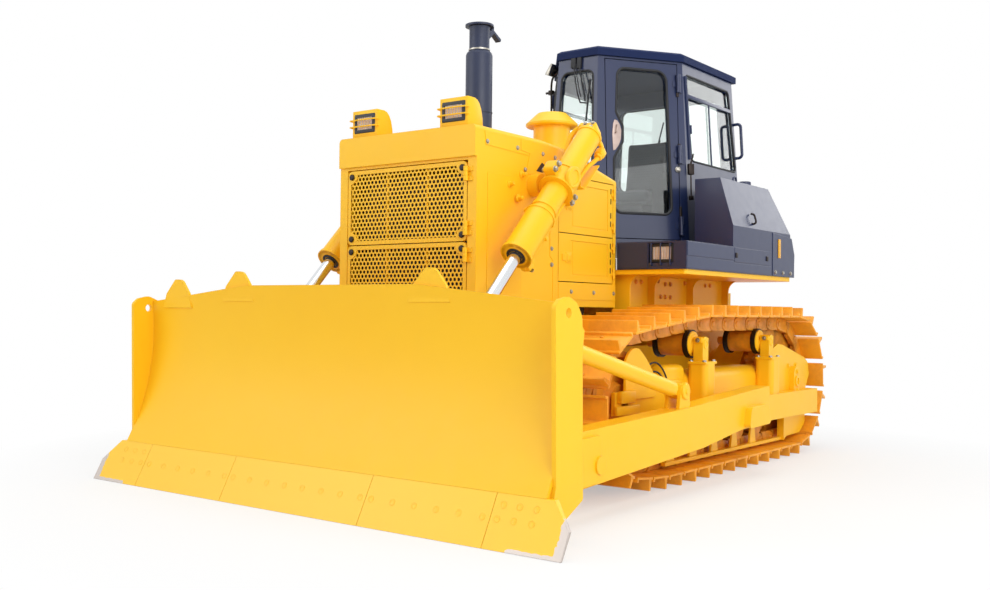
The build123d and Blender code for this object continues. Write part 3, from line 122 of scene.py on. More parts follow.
# %% Camera
CAMERA_PLACE = Vector((4.528, -6.891, 1.154))
CAMERA_YAW, CAMERA_PITCH, CAMERA_ROLL = math.radians(37.544), math.radians(0.863), math.radians(0.647)
IMAGE_WIDTH = 990
FOCAL_PIXELS = 1066.8

camera_data = bpy.data.cameras.new("camera")
camera = bpy.data.objects.new("camera", camera_data)
bpy.context.scene.collection.objects.link(camera)
bpy.context.scene.camera = camera
camera_data.sensor_width = 36.0
camera_data.lens = FOCAL_PIXELS * camera_data.sensor_width / IMAGE_WIDTH
camera_data.shift_x = 0.0234
look = Vector((-math.sin(CAMERA_YAW) * math.cos(CAMERA_PITCH),
               math.cos(CAMERA_YAW) * math.cos(CAMERA_PITCH), math.sin(CAMERA_PITCH)))
camera.rotation_mode = "QUATERNION"
camera.rotation_quaternion = look.to_track_quat("-Z", "Y") @ Matrix.Rotation(CAMERA_ROLL, 4, "Z").to_quaternion()
camera.location = CAMERA_PLACE
camera_data.clip_end = 200.0
print("lens", round(camera_data.lens, 2), "mm")

# %% [markdown]
# ## Stage and light
# Paint looks like paint only when it has something to mirror, so large soft lamps stand left and
# right, a broad one hangs overhead, and the world is pale.  A plain white floor would go grey
# towards the horizon.  So its own colour is mixed with white light for whatever looks at it
# directly or through glass, and it darkens only where the machine keeps the lamps off it.

# %% Floor
def seen_directly(tree):
    """1 for rays from the eye, from mirrors and through glass."""
    ray = add(tree, "LightPath")
    seen = add(tree, "Math", {"operation": "MAXIMUM"},
               _0=ray.outputs["Is Camera Ray"], _1=ray.outputs["Is Glossy Ray"])
    return add(tree, "Math", {"operation": "MAXIMUM"},
               _0=seen.outputs[0], _1=ray.outputs["Is Transmission Ray"]).outputs[0]


FLOOR_SHADOW_REACH = 3.4

floor_paint, tree, shader, place = new_material("studio_floor")
fill(tree, shader, Base_Color=linear("#eeeeec"), Roughness=0.95)
bright = add(tree, "Emission", Color=linear("#ffffff"), Strength=1.0)
distance = add(tree, "VectorMath", {"operation": "LENGTH"}, _0=place)
fade = add(tree, "MapRange", Value=distance.outputs["Value"], From_Min=FLOOR_SHADOW_REACH * 0.6,
           From_Max=FLOOR_SHADOW_REACH * 1.3, To_Min=0.45, To_Max=1.0)
share = add(tree, "Math", {"operation": "MULTIPLY"}, _0=seen_directly(tree), _1=fade.outputs[0])
ground = add(tree, "MixShader", _0=share.outputs[0], _1=shader.outputs[0], _2=bright.outputs[0])
fill(tree, tree.nodes["Material Output"], Surface=ground.outputs[0])

bpy.ops.object.select_all(action="DESELECT")
bpy.ops.mesh.primitive_plane_add(size=120, location=(0, 0, -0.002))
floor = bpy.context.object
floor.name = "floor"
floor.data.materials.append(floor_paint)
floor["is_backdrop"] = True

# %% World
world = bpy.data.worlds.new("studio")
bpy.context.scene.world = world
world.use_nodes = True
tree = world.node_tree
tree.nodes.clear()
dim = add(tree, "Background", Color=linear("#f2f5f8"), Strength=0.50)
white = add(tree, "Background", Color=linear("#ffffff"), Strength=1.0)
sky = add(tree, "MixShader", _0=seen_directly(tree), _1=dim.outputs[0], _2=white.outputs[0])
add(tree, "OutputWorld", Surface=sky.outputs[0])

# %% Lamps
def soft_lamp(name, place, aim, size, watts, hex_code="#ffffff"):
    """A large square lamp that points at a spot on the machine."""
    data = bpy.data.lights.new(name, "AREA")
    data.size, data.energy, data.color = size, watts, linear(hex_code)[:3]
    lamp = bpy.data.objects.new(name, data)
    bpy.context.scene.collection.objects.link(lamp)
    lamp.location = place
    lamp.rotation_euler = (Vector(aim) - Vector(place)).to_track_quat("-Z", "Y").to_euler()


for name, place, aim, size, watts in (
        ("key", (7.5, -4.5, 5.5), (0, 0, 1.2), 5.0, 345),
        ("fill", (-6.0, -9.5, 5.5), (0, -1.0, 1.0), 6.0, 300),
        ("top", (0.5, -0.5, 9.0), (0, 0, 1), 7.0, 300),
        ("side", (9.5, 0.5, 2.6), (0, -0.3, 1.4), 4.0, 100),
        ("rim", (3.0, 9.5, 6.0), (0, 0.5, 1.5), 5.0, 150)):
    soft_lamp(name, place, aim, size, watts)

bpy.context.scene.view_settings.view_transform = "Standard"

# %% [markdown]
# ## Sprayed enamel
# The machine is painted all over with a two-pack machinery enamel, sprayed over primer.  Up close
# such paint has an orange-peel skin, and over a whole plate its tone drifts a little where the
# coat is thicker.  Welded plates also have no knife edges, so a small rounding is shaded in.

# %% Enamel
EDGE_ROUNDING = 0.004
ORANGE_PEEL_MM = 14      # real peel is 1 to 2 mm, drawn coarser so that it shows
YELLOW, NAVY, DEEP_NAVY = "#ffc91f", "#18244a", "#1d2b52"


def soft_edges(tree):
    """Normals that turn smoothly over an edge, as a layer of paint does."""
    return add(tree, "Bevel", {"samples": 4}, Radius=EDGE_ROUNDING).outputs[0]


def enamel(name, main, drift_to, roughness, coat=0.0, gloss_level=0.5):
    """Glossy sprayed paint: tone drift, orange peel and softened edges."""
    made, tree, shader, place = new_material(name)
    drift = add(tree, "TexNoise", Vector=place, Scale=per_mm(700), Detail=3.0)
    tone = add(tree, "Mix", {"data_type": "RGBA"}, _0=drift.outputs["Fac"], _6=linear(main), _7=linear(drift_to))
    cloud = add(tree, "TexNoise", Vector=place, Scale=per_mm(90), Detail=4.0)
    gloss = add(tree, "MapRange", Value=cloud.outputs["Fac"], To_Min=roughness - 0.05, To_Max=roughness + 0.07)
    grain = add(tree, "TexNoise", Vector=place, Scale=per_mm(ORANGE_PEEL_MM), Detail=1.0)
    bump = add(tree, "Bump", Strength=0.05, Distance=0.002, Height=grain.outputs["Fac"], Normal=soft_edges(tree))
    fill(tree, shader, Base_Color=tone.outputs[2], Roughness=gloss.outputs[0], Normal=bump.outputs[0], IOR=1.5,
         Specular_IOR_Level=gloss_level, Coat_Weight=coat, Coat_Roughness=0.08)
    return made


yellow_enamel = enamel("yellow_machinery_enamel", YELLOW, "#fec218", 0.38, gloss_level=0.32)
navy_enamel = enamel("navy_machinery_enamel", NAVY, DEEP_NAVY, 0.32, coat=0.12)
# the roof lies open to sun and dust, so its paint has gone matt
roof_enamel = enamel("weathered_roof_enamel", NAVY, DEEP_NAVY, 0.7, gloss_level=0.15)
stack_enamel = enamel("heat_proof_stack_paint", "#1a2340", "#222c48", 0.45)
print("enamels:", yellow_enamel.name, navy_enamel.name, roof_enamel.name, stack_enamel.name)

# %% [markdown]
# ## Paint over bare wear steel
# The cutting edges and end bits are hardened steel, painted with the rest.  Their lower outer
# corners have lost the paint to the ground, so bright ground steel shows there.  A ramp over the
# height and the width decides where, and a noise frays its border.  The track gets the same idea
# with earth: paint, browned by dust in patches that a noise lays out at random.

# %% Worn paint and earthy track paint
EARTH_SHARE = 0.6        # how far the earth's colour covers the paint where it is thickest


def worn_edge_paint():
    """Yellow paint that gives way to bare ground steel at the outer lower corners."""
    made, tree, shader, place = new_material("worn_edge_enamel")
    axes = add(tree, "SeparateXYZ", Vector=place)
    outward = add(tree, "Math", {"operation": "ABSOLUTE"}, _0=axes.outputs["X"])
    side = add(tree, "MapRange", Value=outward.outputs[0], From_Min=1.795, From_Max=1.84)
    low = add(tree, "MapRange", Value=axes.outputs["Z"], From_Min=0.026, From_Max=0.010)
    reach = add(tree, "MapRange", Value=outward.outputs[0], From_Min=1.50, From_Max=1.58)
    foot = add(tree, "Math", {"operation": "MULTIPLY"}, _0=low.outputs[0], _1=reach.outputs[0])
    bare = add(tree, "Math", {"operation": "MAXIMUM"}, _0=side.outputs[0], _1=foot.outputs[0])
    fray = add(tree, "TexNoise", Vector=place, Scale=per_mm(30), Detail=4.0)
    edge = add(tree, "Math", {"operation": "ADD"}, _0=bare.outputs[0], _1=fray.outputs["Fac"])
    mask = add(tree, "MapRange", Value=edge.outputs[0], From_Min=0.92, From_Max=1.0)
    tone = add(tree, "Mix", {"data_type": "RGBA"}, _0=mask.outputs[0], _6=linear(YELLOW), _7=linear("#bfb5ae"))
    metal = add(tree, "Math", {"operation": "MULTIPLY"}, _0=mask.outputs[0], _1=0.45)
    fill(tree, shader, Base_Color=tone.outputs[2], Metallic=metal.outputs[0], Normal=soft_edges(tree), Roughness=0.38)
    return made


def earthy_paint(name, main, earth):
    """Track paint, dulled and browned in patches by dust and rubbing."""
    made, tree, shader, place = new_material(name)
    patch = add(tree, "TexNoise", Vector=place, Scale=per_mm(160), Detail=6.0, Roughness=0.62)
    mask = add(tree, "MapRange", Value=patch.outputs["Fac"], From_Min=0.42, From_Max=0.72, To_Max=EARTH_SHARE)
    tone = add(tree, "Mix", {"data_type": "RGBA"}, _0=mask.outputs[0], _6=linear(main), _7=linear(earth))
    rough = add(tree, "MapRange", Value=mask.outputs[0], To_Min=0.42, To_Max=0.72)
    grain = add(tree, "TexNoise", Vector=place, Scale=per_mm(16), Detail=3.0)
    bump = add(tree, "Bump", Strength=0.15, Distance=0.002, Height=grain.outputs["Fac"], Normal=soft_edges(tree))
    fill(tree, shader, Base_Color=tone.outputs[2], Roughness=rough.outputs[0], Normal=bump.outputs[0])
    return made


worn_edge_enamel = worn_edge_paint()
track_enamel = earthy_paint("earthy_track_enamel", "#fbab1e", "#c67a1c")
link_enamel = earthy_paint("earthy_link_enamel", "#ee9f20", "#8a5419")
print("wear:", worn_edge_enamel.name, track_enamel.name, link_enamel.name)

# %% [markdown]
# ## Metals, glass, rubber, fabric and plastic
# The lift rods are ground and hard-chromed, bolts are zinc-plated, lamp bowls are vacuum-metallised.
# Metals keep the default index of refraction and take their look from colour and roughness alone.
# Safety glass is clear with the faint green of its iron, and lets the white room through.

# %% Smaller materials
def speckled(name, main, other, roughness, metallic=0.0, size_mm=20, bump=0.1, **sockets):
    """A finish whose tone and surface vary with one fine noise."""
    made, tree, shader, place = new_material(name)
    grain = add(tree, "TexNoise", Vector=place, Scale=per_mm(size_mm), Detail=3.0)
    tone = add(tree, "Mix", {"data_type": "RGBA"}, _0=grain.outputs["Fac"], _6=linear(main), _7=linear(other))
    skin = add(tree, "Bump", Strength=bump, Distance=0.001, Height=grain.outputs["Fac"])
    fill(tree, shader, Base_Color=tone.outputs[2], Normal=skin.outputs[0], Roughness=roughness, Metallic=metallic,
         **sockets)
    return made


chromed_rod = speckled("hard_chromed_rod", "#e6e8ea", "#d8dbde", 0.16, 1.0, 6, 0.02)
zinc_plate = speckled("zinc_plated_steel", "#b9b6ae", "#a29c90", 0.38, 1.0, 5)
polished_plate = speckled("polished_handle_plate", "#c9b5ac", "#a8948c", 0.42, 0.4, 40, 0.1)
black_oxide = speckled("black_oxide_steel", "#3a3330", "#2a2422", 0.45, 0.8, 5)
lamp_bowl = speckled("metallised_reflector", "#f4efe4", "#e2d6c4", 0.2, 1.0, 25, 0.5)
rubber = speckled("moulded_rubber", "#15171c", "#1d1f25", 0.62, 0.0, 8)
trim_plastic = speckled("grained_black_plastic", "#1b1c20", "#24262b", 0.5, 0.0, 4, 0.3)
cast_iron = speckled("painted_casting", "#5d5547", "#4c463b", 0.6, 0.0, 12, 0.4)
core_fins = speckled("radiator_fins", "#2a1c12", "#3a2617", 0.7, 0.0, 10, 0.3)
amber_plastic = speckled("amber_reflector", "#f3b413", "#e7a20c", 0.25, 0.0, 10, 0.2)
lamp_glass = speckled("fluted_lamp_glass", "#f4e6dc", "#cdb6aa", 0.15, 0.0, 22, 0.3, Transmission_Weight=0.35,
                      IOR=1.5)
safety_glass = speckled("clear_safety_glass", "#eef4f2", "#e9f1ef", 0.02, 0.0, 400, 0.0, Transmission_Weight=1.0,
                        IOR=1.45)
print("small materials ready")

# %% [markdown]
# ## Seat cloth
# Operator's seats wear a woven polyester cloth.  Its threads are about 1.2 mm apart, too fine to
# see here, so two crossed waves draw it three times as coarse.

# %% Woven seat cloth
THREAD_MM = 3.6

seat_cloth, tree, shader, place = new_material("woven_seat_cloth")
threads = [add(tree, "TexWave", {"bands_direction": way}, Vector=place, Scale=per_mm(THREAD_MM * 20), Distortion=1.0)
           for way in ("X", "Z")]
weave = add(tree, "Math", {"operation": "MULTIPLY"}, _0=threads[0].outputs["Fac"], _1=threads[1].outputs["Fac"])
tone = add(tree, "Mix", {"data_type": "RGBA"}, _0=weave.outputs[0], _6=linear("#2a2d35"), _7=linear("#50545f"))
lift = add(tree, "Bump", Strength=0.4, Distance=0.002, Height=weave.outputs[0])
fill(tree, shader, Base_Color=tone.outputs[2], Normal=lift.outputs[0], Roughness=0.85, Sheen_Weight=0.3)

# %% Give every frame node its finish
finishes = {
    roof_enamel: ("cab_roof",),
    navy_enamel: ("cab_shell", "cab_door_left", "cab_door_right", "fenders", "grab_rails"),
    stack_enamel: ("exhaust_stack", "rain_cap"),
    safety_glass: ("cab_glass", "door_glass_left", "door_glass_right"),
    seat_cloth: ("seat",),
    trim_plastic: ("controls",),
    core_fins: ("radiator_core",),
    cast_iron: ("engine_block",),
    track_enamel: ("track_left", "track_right"),
    link_enamel: ("sprockets", "rollers", "idlers"),
    chromed_rod: ("lift_rod_left", "lift_rod_right"),
    worn_edge_enamel: ("cutting_edges", "end_bits"),
}
finish_of = {node: finish for finish, names in finishes.items() for node in names}
for name, node in nodes.items():
    node.data.materials.clear()
    node.data.materials.append(finish_of.get(name, yellow_enamel))
print("finished", len(nodes), "nodes")

# %% [markdown]
# ## Shop helpers
# Everything below is built the way a hand would build it: a primitive is added, shaped with
# extrude, bevel, bisect and transform operators, and its place is applied to its mesh.  A part
# that repeats is modelled once and copied.  A few short helpers cover the shop's work: bricks,
# plates cut to an outline, turned pieces, bent bars, copies, and a piece's finish and body.

# %% Helpers: selecting, easing edges, bricks
MIRROR = Matrix.Scale(-1, 4, (1, 0, 0))
BOTH_SIDES = (Matrix(), MIRROR)


def only(obj):
    """Leaves one object selected and active."""
    bpy.ops.object.select_all(action="DESELECT")
    obj.select_set(True)
    bpy.context.view_layer.objects.active = obj
    return obj


def settle(obj):
    """Applies an object's place to its mesh."""
    only(obj)
    bpy.ops.object.transform_apply(location=True, rotation=True, scale=True)
    return obj


def eased(obj, width, steps=2):
    """Rounds an object's sharp edges."""
    only(obj)
    bevel = obj.modifiers.new("ease", "BEVEL")
    bevel.width, bevel.segments, bevel.angle_limit = width, steps, math.radians(30)
    bpy.ops.object.modifier_apply(modifier=bevel.name)
    return obj


def brick(low, high, ease=0.0, steps=2):
    """A block between two corners, its edges rounded by ease."""
    bpy.ops.object.select_all(action="DESELECT")
    low, high = Vector(low), Vector(high)
    bpy.ops.mesh.primitive_cube_add(size=1.0, location=(low + high) / 2, scale=high - low)
    obj = settle(bpy.context.object)
    return eased(obj, ease, steps) if ease else obj


# %% Helpers: cut plates and turned pieces
def shaped(obj, steps):
    """Runs steps in edit mode with the whole mesh selected, then turns the faces outwards."""
    only(obj)
    bpy.ops.object.mode_set(mode="EDIT")
    bpy.ops.mesh.select_all(action="SELECT")
    steps()
    bpy.ops.mesh.select_all(action="SELECT")
    bpy.ops.mesh.normals_make_consistent(inside=False)
    bpy.ops.object.mode_set(mode="OBJECT")
    return obj


def cut_plate(outline, normal, start, end, ease=0.0):
    """A plate cut to (a, b) points, standing across the x, y or z axis from start to end."""
    axis = "xyz".index(normal)
    bpy.ops.object.select_all(action="DESELECT")
    bpy.ops.mesh.primitive_circle_add(vertices=len(outline), radius=1.0, fill_type="NGON")
    obj = bpy.context.object
    for vertex, (a, b) in zip(obj.data.vertices, outline):
        spot = [a, b]
        spot.insert(axis, start)
        vertex.co = spot
    way = [0.0, 0.0, 0.0]
    way[axis] = end - start
    shaped(obj, lambda: bpy.ops.mesh.extrude_region_move(TRANSFORM_OT_translate={"value": way}))
    return eased(obj, ease) if ease else obj


def oblong(a0, b0, a1, b1):
    """The four corners of an upright rectangle between two of them."""
    return [(a0, b0), (a1, b0), (a1, b1), (a0, b1)]


def turned(place, axis, steps, sides=24):
    """A turned piece along an axis, through (distance, radius) steps."""
    axis, place = Vector(axis).normalized(), Vector(place)
    bpy.ops.object.select_all(action="DESELECT")
    bpy.ops.mesh.primitive_circle_add(vertices=sides, radius=steps[0][1], fill_type="NGON",
                                      location=place + axis * steps[0][0],
                                      rotation=axis.to_track_quat("Z", "Y").to_euler())
    obj = settle(bpy.context.object)

    def draw_out():
        for (d0, r0), (d1, r1) in zip(steps, steps[1:]):
            bpy.ops.mesh.extrude_region_move(TRANSFORM_OT_translate={"value": axis * (d1 - d0)})
            if r1 != r0:
                bpy.ops.transform.resize(value=(r1 / r0,) * 3, center_override=place + axis * d1)

    return shaped(obj, draw_out)


def upright(steps, sides):
    """A piece turned round the Z axis, standing on the origin."""
    return turned((0, 0, 0), (0, 0, 1), steps, sides)


# %% Helpers: faces picked in edit mode
def on_faces(obj, choose, steps):
    """Runs steps in edit mode with only the chosen faces selected."""
    only(obj)
    bpy.ops.object.mode_set(mode="EDIT")
    bpy.ops.mesh.select_all(action="DESELECT")
    bpy.ops.mesh.select_mode(type="FACE")
    mesh = bmesh.from_edit_mesh(obj.data)
    chosen = choose(list(mesh.faces))
    for face in mesh.faces:
        face.select = face in chosen
    bmesh.update_edit_mesh(obj.data)
    steps()
    bpy.ops.object.mode_set(mode="OBJECT")
    return obj


def ring(place, axis, outer, inner, depth, sides=32):
    """A washer: a turned disc whose middle is bridged open."""
    def open_middle():
        bpy.ops.mesh.inset(thickness=(outer - inner) * math.cos(math.pi / sides))
        bpy.ops.mesh.bridge_edge_loops()
        bpy.ops.mesh.select_all(action="SELECT")
        bpy.ops.mesh.normals_make_consistent(inside=False)

    disc = turned(place, axis, [(0, outer), (depth, outer)], sides)
    return on_faces(disc, lambda faces: {face for face in faces if len(face.verts) == sides}, open_middle)


# %% Helpers: bars, copies, finished pieces
def curved_bar(name, points, radius, fine=6, rounding=2):
    """A round bar along a smooth curve that a few points pull on."""
    data = bpy.data.curves.new(name, "CURVE")
    data.dimensions, data.bevel_depth, data.bevel_resolution, data.use_fill_caps = "3D", radius, rounding, True
    spline = data.splines.new("NURBS")
    spline.points.add(len(points) - 1)
    for point, spot in zip(spline.points, points):
        point.co = (*spot, 1.0)
    spline.order_u, spline.use_endpoint_u, spline.resolution_u = 3, True, fine
    obj = bpy.data.objects.new(name, data)
    bpy.context.scene.collection.objects.link(obj)
    return obj


def tube(points, radius):
    """A bent bar or pipe as a mesh."""
    only(curved_bar("pipe", points, radius))
    bpy.ops.object.convert(target="MESH")
    return bpy.context.object


def merged(parts):
    """Several objects joined into the first."""
    only(parts[0])
    for part in parts:
        part.select_set(True)
    bpy.ops.object.join()
    return bpy.context.object


def laid(obj, matrix):
    """Moves a piece's mesh by a matrix, and keeps a mirrored one's faces outwards."""
    obj.data.transform(matrix)
    if matrix.determinant() < 0:
        obj.data.flip_normals()
    return obj


def twin(obj, matrix=Matrix()):
    """A copy with its own mesh, laid by a matrix."""
    copy = obj.copy()
    copy.data = obj.data.copy()
    bpy.context.scene.collection.objects.link(copy)
    return laid(copy, matrix)


def copied(pattern, matrices):
    """The pattern at every matrix, joined into one object."""
    copies = [twin(pattern, matrix) for matrix in matrices]
    bpy.data.objects.remove(pattern)
    return merged(copies)


def stand(place, way=(0, 0, 1), turn=0.0):
    """Matrix that puts a piece modelled upright at the origin onto a place, facing a way."""
    facing = Vector(way).normalized().to_track_quat("Z", "Y").to_matrix().to_4x4()
    return Matrix.Translation(place) @ facing @ Matrix.Rotation(turn, 4, "Z")


def finished(obj, name, material, body="tractor", slot="yellow_paint", angle=35):
    """Names a piece, gives it its finish and the body that it rides on."""
    obj.name = obj.data.name = name
    obj.data.materials.clear()
    obj.data.materials.append(material)
    only(obj)
    bpy.ops.object.shade_smooth_by_angle(angle=math.radians(angle))
    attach(obj, body)
    print(name, len(obj.data.polygons), "faces")
    return obj


def on_both_sides(obj, name, material, **rides):
    """Finishes a left-hand piece and its mirror image as one."""
    return finished(copied(obj, BOTH_SIDES), name, material, **rides)


# %% [markdown]
# ## Track chain
# A crawler chain is a loop of steel links on pins and bushings, with a shoe bolted to each pair
# of links.  The loop's line follows from the wheels inside it: it wraps the sprocket, passes over
# two carrier rollers, wraps the idler and lies flat under the track rollers.  So the pins are
# found by stepping equally round the tangents and arcs of those circles.

# %% Places of the pins
SHOES = 38
TRACK_X = 1.0
LINK_HALF_HEIGHT, LINK_SPREAD, SHOE_PLATE, GROUSER = 0.053, 0.078, 0.016, 0.072
PIN_LINE = LINK_HALF_HEIGHT + SHOE_PLATE + GROUSER
SPROCKET = (1.870, PIN_LINE + 0.468, 0.468)      # y, z and pin-line radius
IDLER_RADIUS, IDLER_LIFT = 0.405, 0.027
CARRIER_YS = (0.120, 1.320)
CARRIER_REACH = 0.086 + LINK_HALF_HEIGHT
CHAIN_TOP = SPROCKET[1] + SPROCKET[2]
ROLLER_REACH = 0.095 + LINK_HALF_HEIGHT
wheels = [SPROCKET] + [(y, CHAIN_TOP - CARRIER_REACH, CARRIER_REACH) for y in reversed(CARRIER_YS)]
wheels += [(-0.860, PIN_LINE + IDLER_LIFT + IDLER_RADIUS, IDLER_RADIUS), (-0.580, PIN_LINE + ROLLER_REACH + 0.0003,
                                                                          ROLLER_REACH)]


def outer_tangent(first, second):
    """Ends and turning angle of the tangent that keeps both wheels on its left."""
    (y0, z0, r0), (y1, z1, r1) = first, second
    span = math.hypot(y1 - y0, z1 - z0)
    angle = math.atan2(z1 - z0, y1 - y0) + math.asin((r0 - r1) / span) - math.pi / 2
    side = Vector((math.cos(angle), math.sin(angle)))
    return Vector((y0, z0)) + side * r0, Vector((y1, z1)) + side * r1, angle


def pins_round(wheels, count):
    """Equal steps round the wheels' belt line."""
    runs = [outer_tangent(wheels[i], wheels[(i + 1) % len(wheels)]) for i in range(len(wheels))]
    stretches = []
    for i, (y, z, radius) in enumerate(wheels):
        start = runs[i - 1][2]
        sweep = round(runs[i][2] - start, 9) % (2 * math.pi)
        stretches.append((radius * sweep, lambda t, y=y, z=z, r=radius, a=start, s=sweep:
                          Vector((y + r * math.cos(a + s * t), z + r * math.sin(a + s * t)))))
        a, b, _ = runs[i]
        stretches.append(((b - a).length, lambda t, a=a, b=b: a.lerp(b, t)))
    total = sum(length for length, _ in stretches)
    spots = []
    for k in range(count):
        left = total * k / count
        for length, spot in stretches:
            if left <= length:
                break
            left -= length
        spots.append(spot(left / length))
    return spots, total / count


pins, pitch = pins_round(wheels, SHOES)
links = []
for k, pin in enumerate(pins):
    after = pins[(k + 1) % SHOES]
    middle, along = (pin + after) / 2, (after - pin).normalized()
    links.append(Matrix(((-1, 0, 0, TRACK_X), (0, along.x, along.y, middle.x), (0, along.y, -along.x, middle.y),
                         (0, 0, 0, 1))))
print("pitch", round(pitch * 1000, 1), "mm,", len(links), "links")

# %% [markdown]
# Each shoe is a rolled bar: a plate with one tall grouser, and a low lip at its other end that
# reaches over the neighbour.  A link is forged, its ends set off sideways, so that one link's
# nose lies beside the next one's tail.  One of each is modelled flat, along Y with the ground
# side up, and copied to every step of the chain.

# %% One shoe, and its copies
plate_low, plate_top = LINK_HALF_HEIGHT, LINK_HALF_HEIGHT + SHOE_PLATE
reach, grouser = pitch / 2 * 0.93, pitch / 2 * 0.62
shoe_outline = [
    (-reach, plate_low), (reach, plate_low), (reach, plate_top), (grouser + 0.016, plate_top),
    (grouser + 0.010, plate_top + GROUSER),
    (grouser - 0.010, plate_top + GROUSER), (grouser - 0.016, plate_top), (-reach + 0.016, plate_top),
    (-reach + 0.012, plate_top + 0.017),
    (-reach - 0.006, plate_top + 0.017)]
shoes = copied(cut_plate(shoe_outline, "x", -0.28, 0.28, 0.003), links)

# %% One pair of links with its pin, and the copies
def arc(centre, radius, first, last, steps):
    """Points of an arc about a pin, angles in degrees."""
    turns = [math.radians(first + (last - first) * k / steps) for k in range(steps + 1)]
    return [(centre + radius * math.cos(turn), radius * math.sin(turn)) for turn in turns]


def link_row(x):
    """One link in two layers: each ends round a pin on one side and makes room for its neighbour on the other."""
    half, nose, room = pitch / 2, 0.046, 0.057
    outer = arc(-half, room, -68, 68, 6) + [(-0.060, 0.053), (0.060, 0.053)] + arc(half, nose, 80, -80,
                                                                                   8) + [(0.060, -0.053),
                                                                                         (-0.060, -0.053)]
    inner = [(-along, up) for along, up in outer]
    return [cut_plate(outer, "x", x + 0.001, x + 0.021, 0.003), cut_plate(inner, "x", x - 0.021, x - 0.001, 0.003),
            brick((x - 0.002, -0.045, -0.046), (x + 0.002, 0.045, 0.046))]


pair = [laid(part, turn) for turn in (MIRROR, Matrix()) for part in link_row(LINK_SPREAD)]
bushing = turned((-0.107, -pitch / 2, 0), (1, 0, 0), [(0, 0.018), (0.006, 0.024), (0.050, 0.024), (0.050, 0.033),
                                                      (0.164, 0.033),
                                                     (0.164, 0.024), (0.208, 0.024), (0.214, 0.018)], 14)
chain = copied(merged(pair + [bushing]), links)

# %% Shoe bolts
def hex_bolt(radius, height, washer=True):
    """A hexagon head, with its washer, standing on the origin."""
    parts = [upright([(0, radius), (height * 0.8, radius), (height, radius * 0.8)], 6)]
    if washer:
        parts.append(upright([(0, radius * 1.35), (height * 0.22, radius * 1.3)], 14))
    return merged(parts)


bolt_spots = [(x, y, plate_top - 0.001) for x in (-LINK_SPREAD, LINK_SPREAD) for y in (-0.060, 0.018)]
bolts = copied(hex_bolt(0.013, 0.012, washer=False), [link @ stand(spot) for link in links for spot in bolt_spots])

# %% Dress both tracks
for obj, name, finish in ((shoes, "shoes", track_enamel), (chain, "links", link_enamel),
                          (bolts, "shoe_bolts", link_enamel)):
    for side, piece in (("left", obj), ("right", twin(obj, MIRROR))):
        finished(piece, f"track_{name}_{side}", finish, slot="worn_steel")
        if name == "shoes":
            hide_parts(f"track_{side}")

# %% [markdown]
# ## Radiator doors
# The doors' centre is a sheet punched with hexagonal holes in staggered rows, 32 mm apart.  The
# frame's doors have the same holes, but coarser.  So each door is copied, its coarse centre is cut
# out along the rim's inner edges with bisect, and a finely punched sheet is set in: one ring
# round one hole, repeated by two Array modifiers, trimmed and given its thickness.

# %% One punched sheet
HOLE_STEP, HOLE_RADIUS = 0.032, 0.0125
SAME_SPOT = 0.00001              # loose triangles' corners closer than this are one


def bisected(axis, limit, outward=1, clear=False):
    """Cuts the mesh across an axis in edit mode, and clears what lies outwards if asked to."""
    spot, normal = [0, 0, 0], [0, 0, 0]
    spot[axis], normal[axis] = limit, outward
    bpy.ops.mesh.select_all(action="SELECT")
    bpy.ops.mesh.bisect(plane_co=spot, plane_no=normal, clear_outer=clear)


def punched_sheet(low, high, thickness):
    """A sheet between two corners (x, y, z) across the Y axis, full of staggered holes."""
    row, cell = HOLE_STEP * math.sqrt(3) / 2, HOLE_STEP / math.sqrt(3)
    bpy.ops.object.select_all(action="DESELECT")
    bpy.ops.mesh.primitive_circle_add(vertices=6, radius=cell, fill_type="NGON", rotation=(math.pi / 2, 0, 0),
                                      location=low)
    obj = settle(bpy.context.object)
    bpy.ops.object.mode_set(mode="EDIT")
    bpy.ops.mesh.select_all(action="SELECT")
    bpy.ops.mesh.inset(thickness=(cell - HOLE_RADIUS) * math.cos(math.pi / 6))
    bpy.ops.mesh.delete(type="FACE")
    bpy.ops.object.mode_set(mode="OBJECT")
    across, up = high[0] - low[0], high[2] - low[2]
    for offset, count in (((HOLE_STEP / 2, 0, row), 2), ((HOLE_STEP, 0, 0), int(across / HOLE_STEP) + 2),
                          ((0, 0, 2 * row), int(up / row / 2) + 2)):
        repeat = obj.modifiers.new("row", "ARRAY")
        repeat.use_relative_offset, repeat.use_constant_offset = False, True
        repeat.constant_offset_displace, repeat.count = offset, count
        repeat.use_merge_vertices, repeat.merge_threshold = True, 0.0008
        bpy.ops.object.modifier_apply(modifier=repeat.name)
    only(obj)
    bpy.ops.object.mode_set(mode="EDIT")
    for axis in (0, 2):
        bisected(axis, low[axis], -1, clear=True)
        bisected(axis, high[axis], 1, clear=True)
    bpy.ops.object.mode_set(mode="OBJECT")
    wall = obj.modifiers.new("wall", "SOLIDIFY")
    wall.thickness, wall.offset = thickness, 0.0
    bpy.ops.object.modifier_apply(modifier=wall.name)
    return obj


# %% Both doors
RIM, DOOR_HALF_WIDTH = 0.026, 0.505
DOOR_FACE, SHEET_Y, SHEET = -1.7185, -1.712, 0.004
LAP = 0.004                      # how far the sheet and its corners reach under the rim

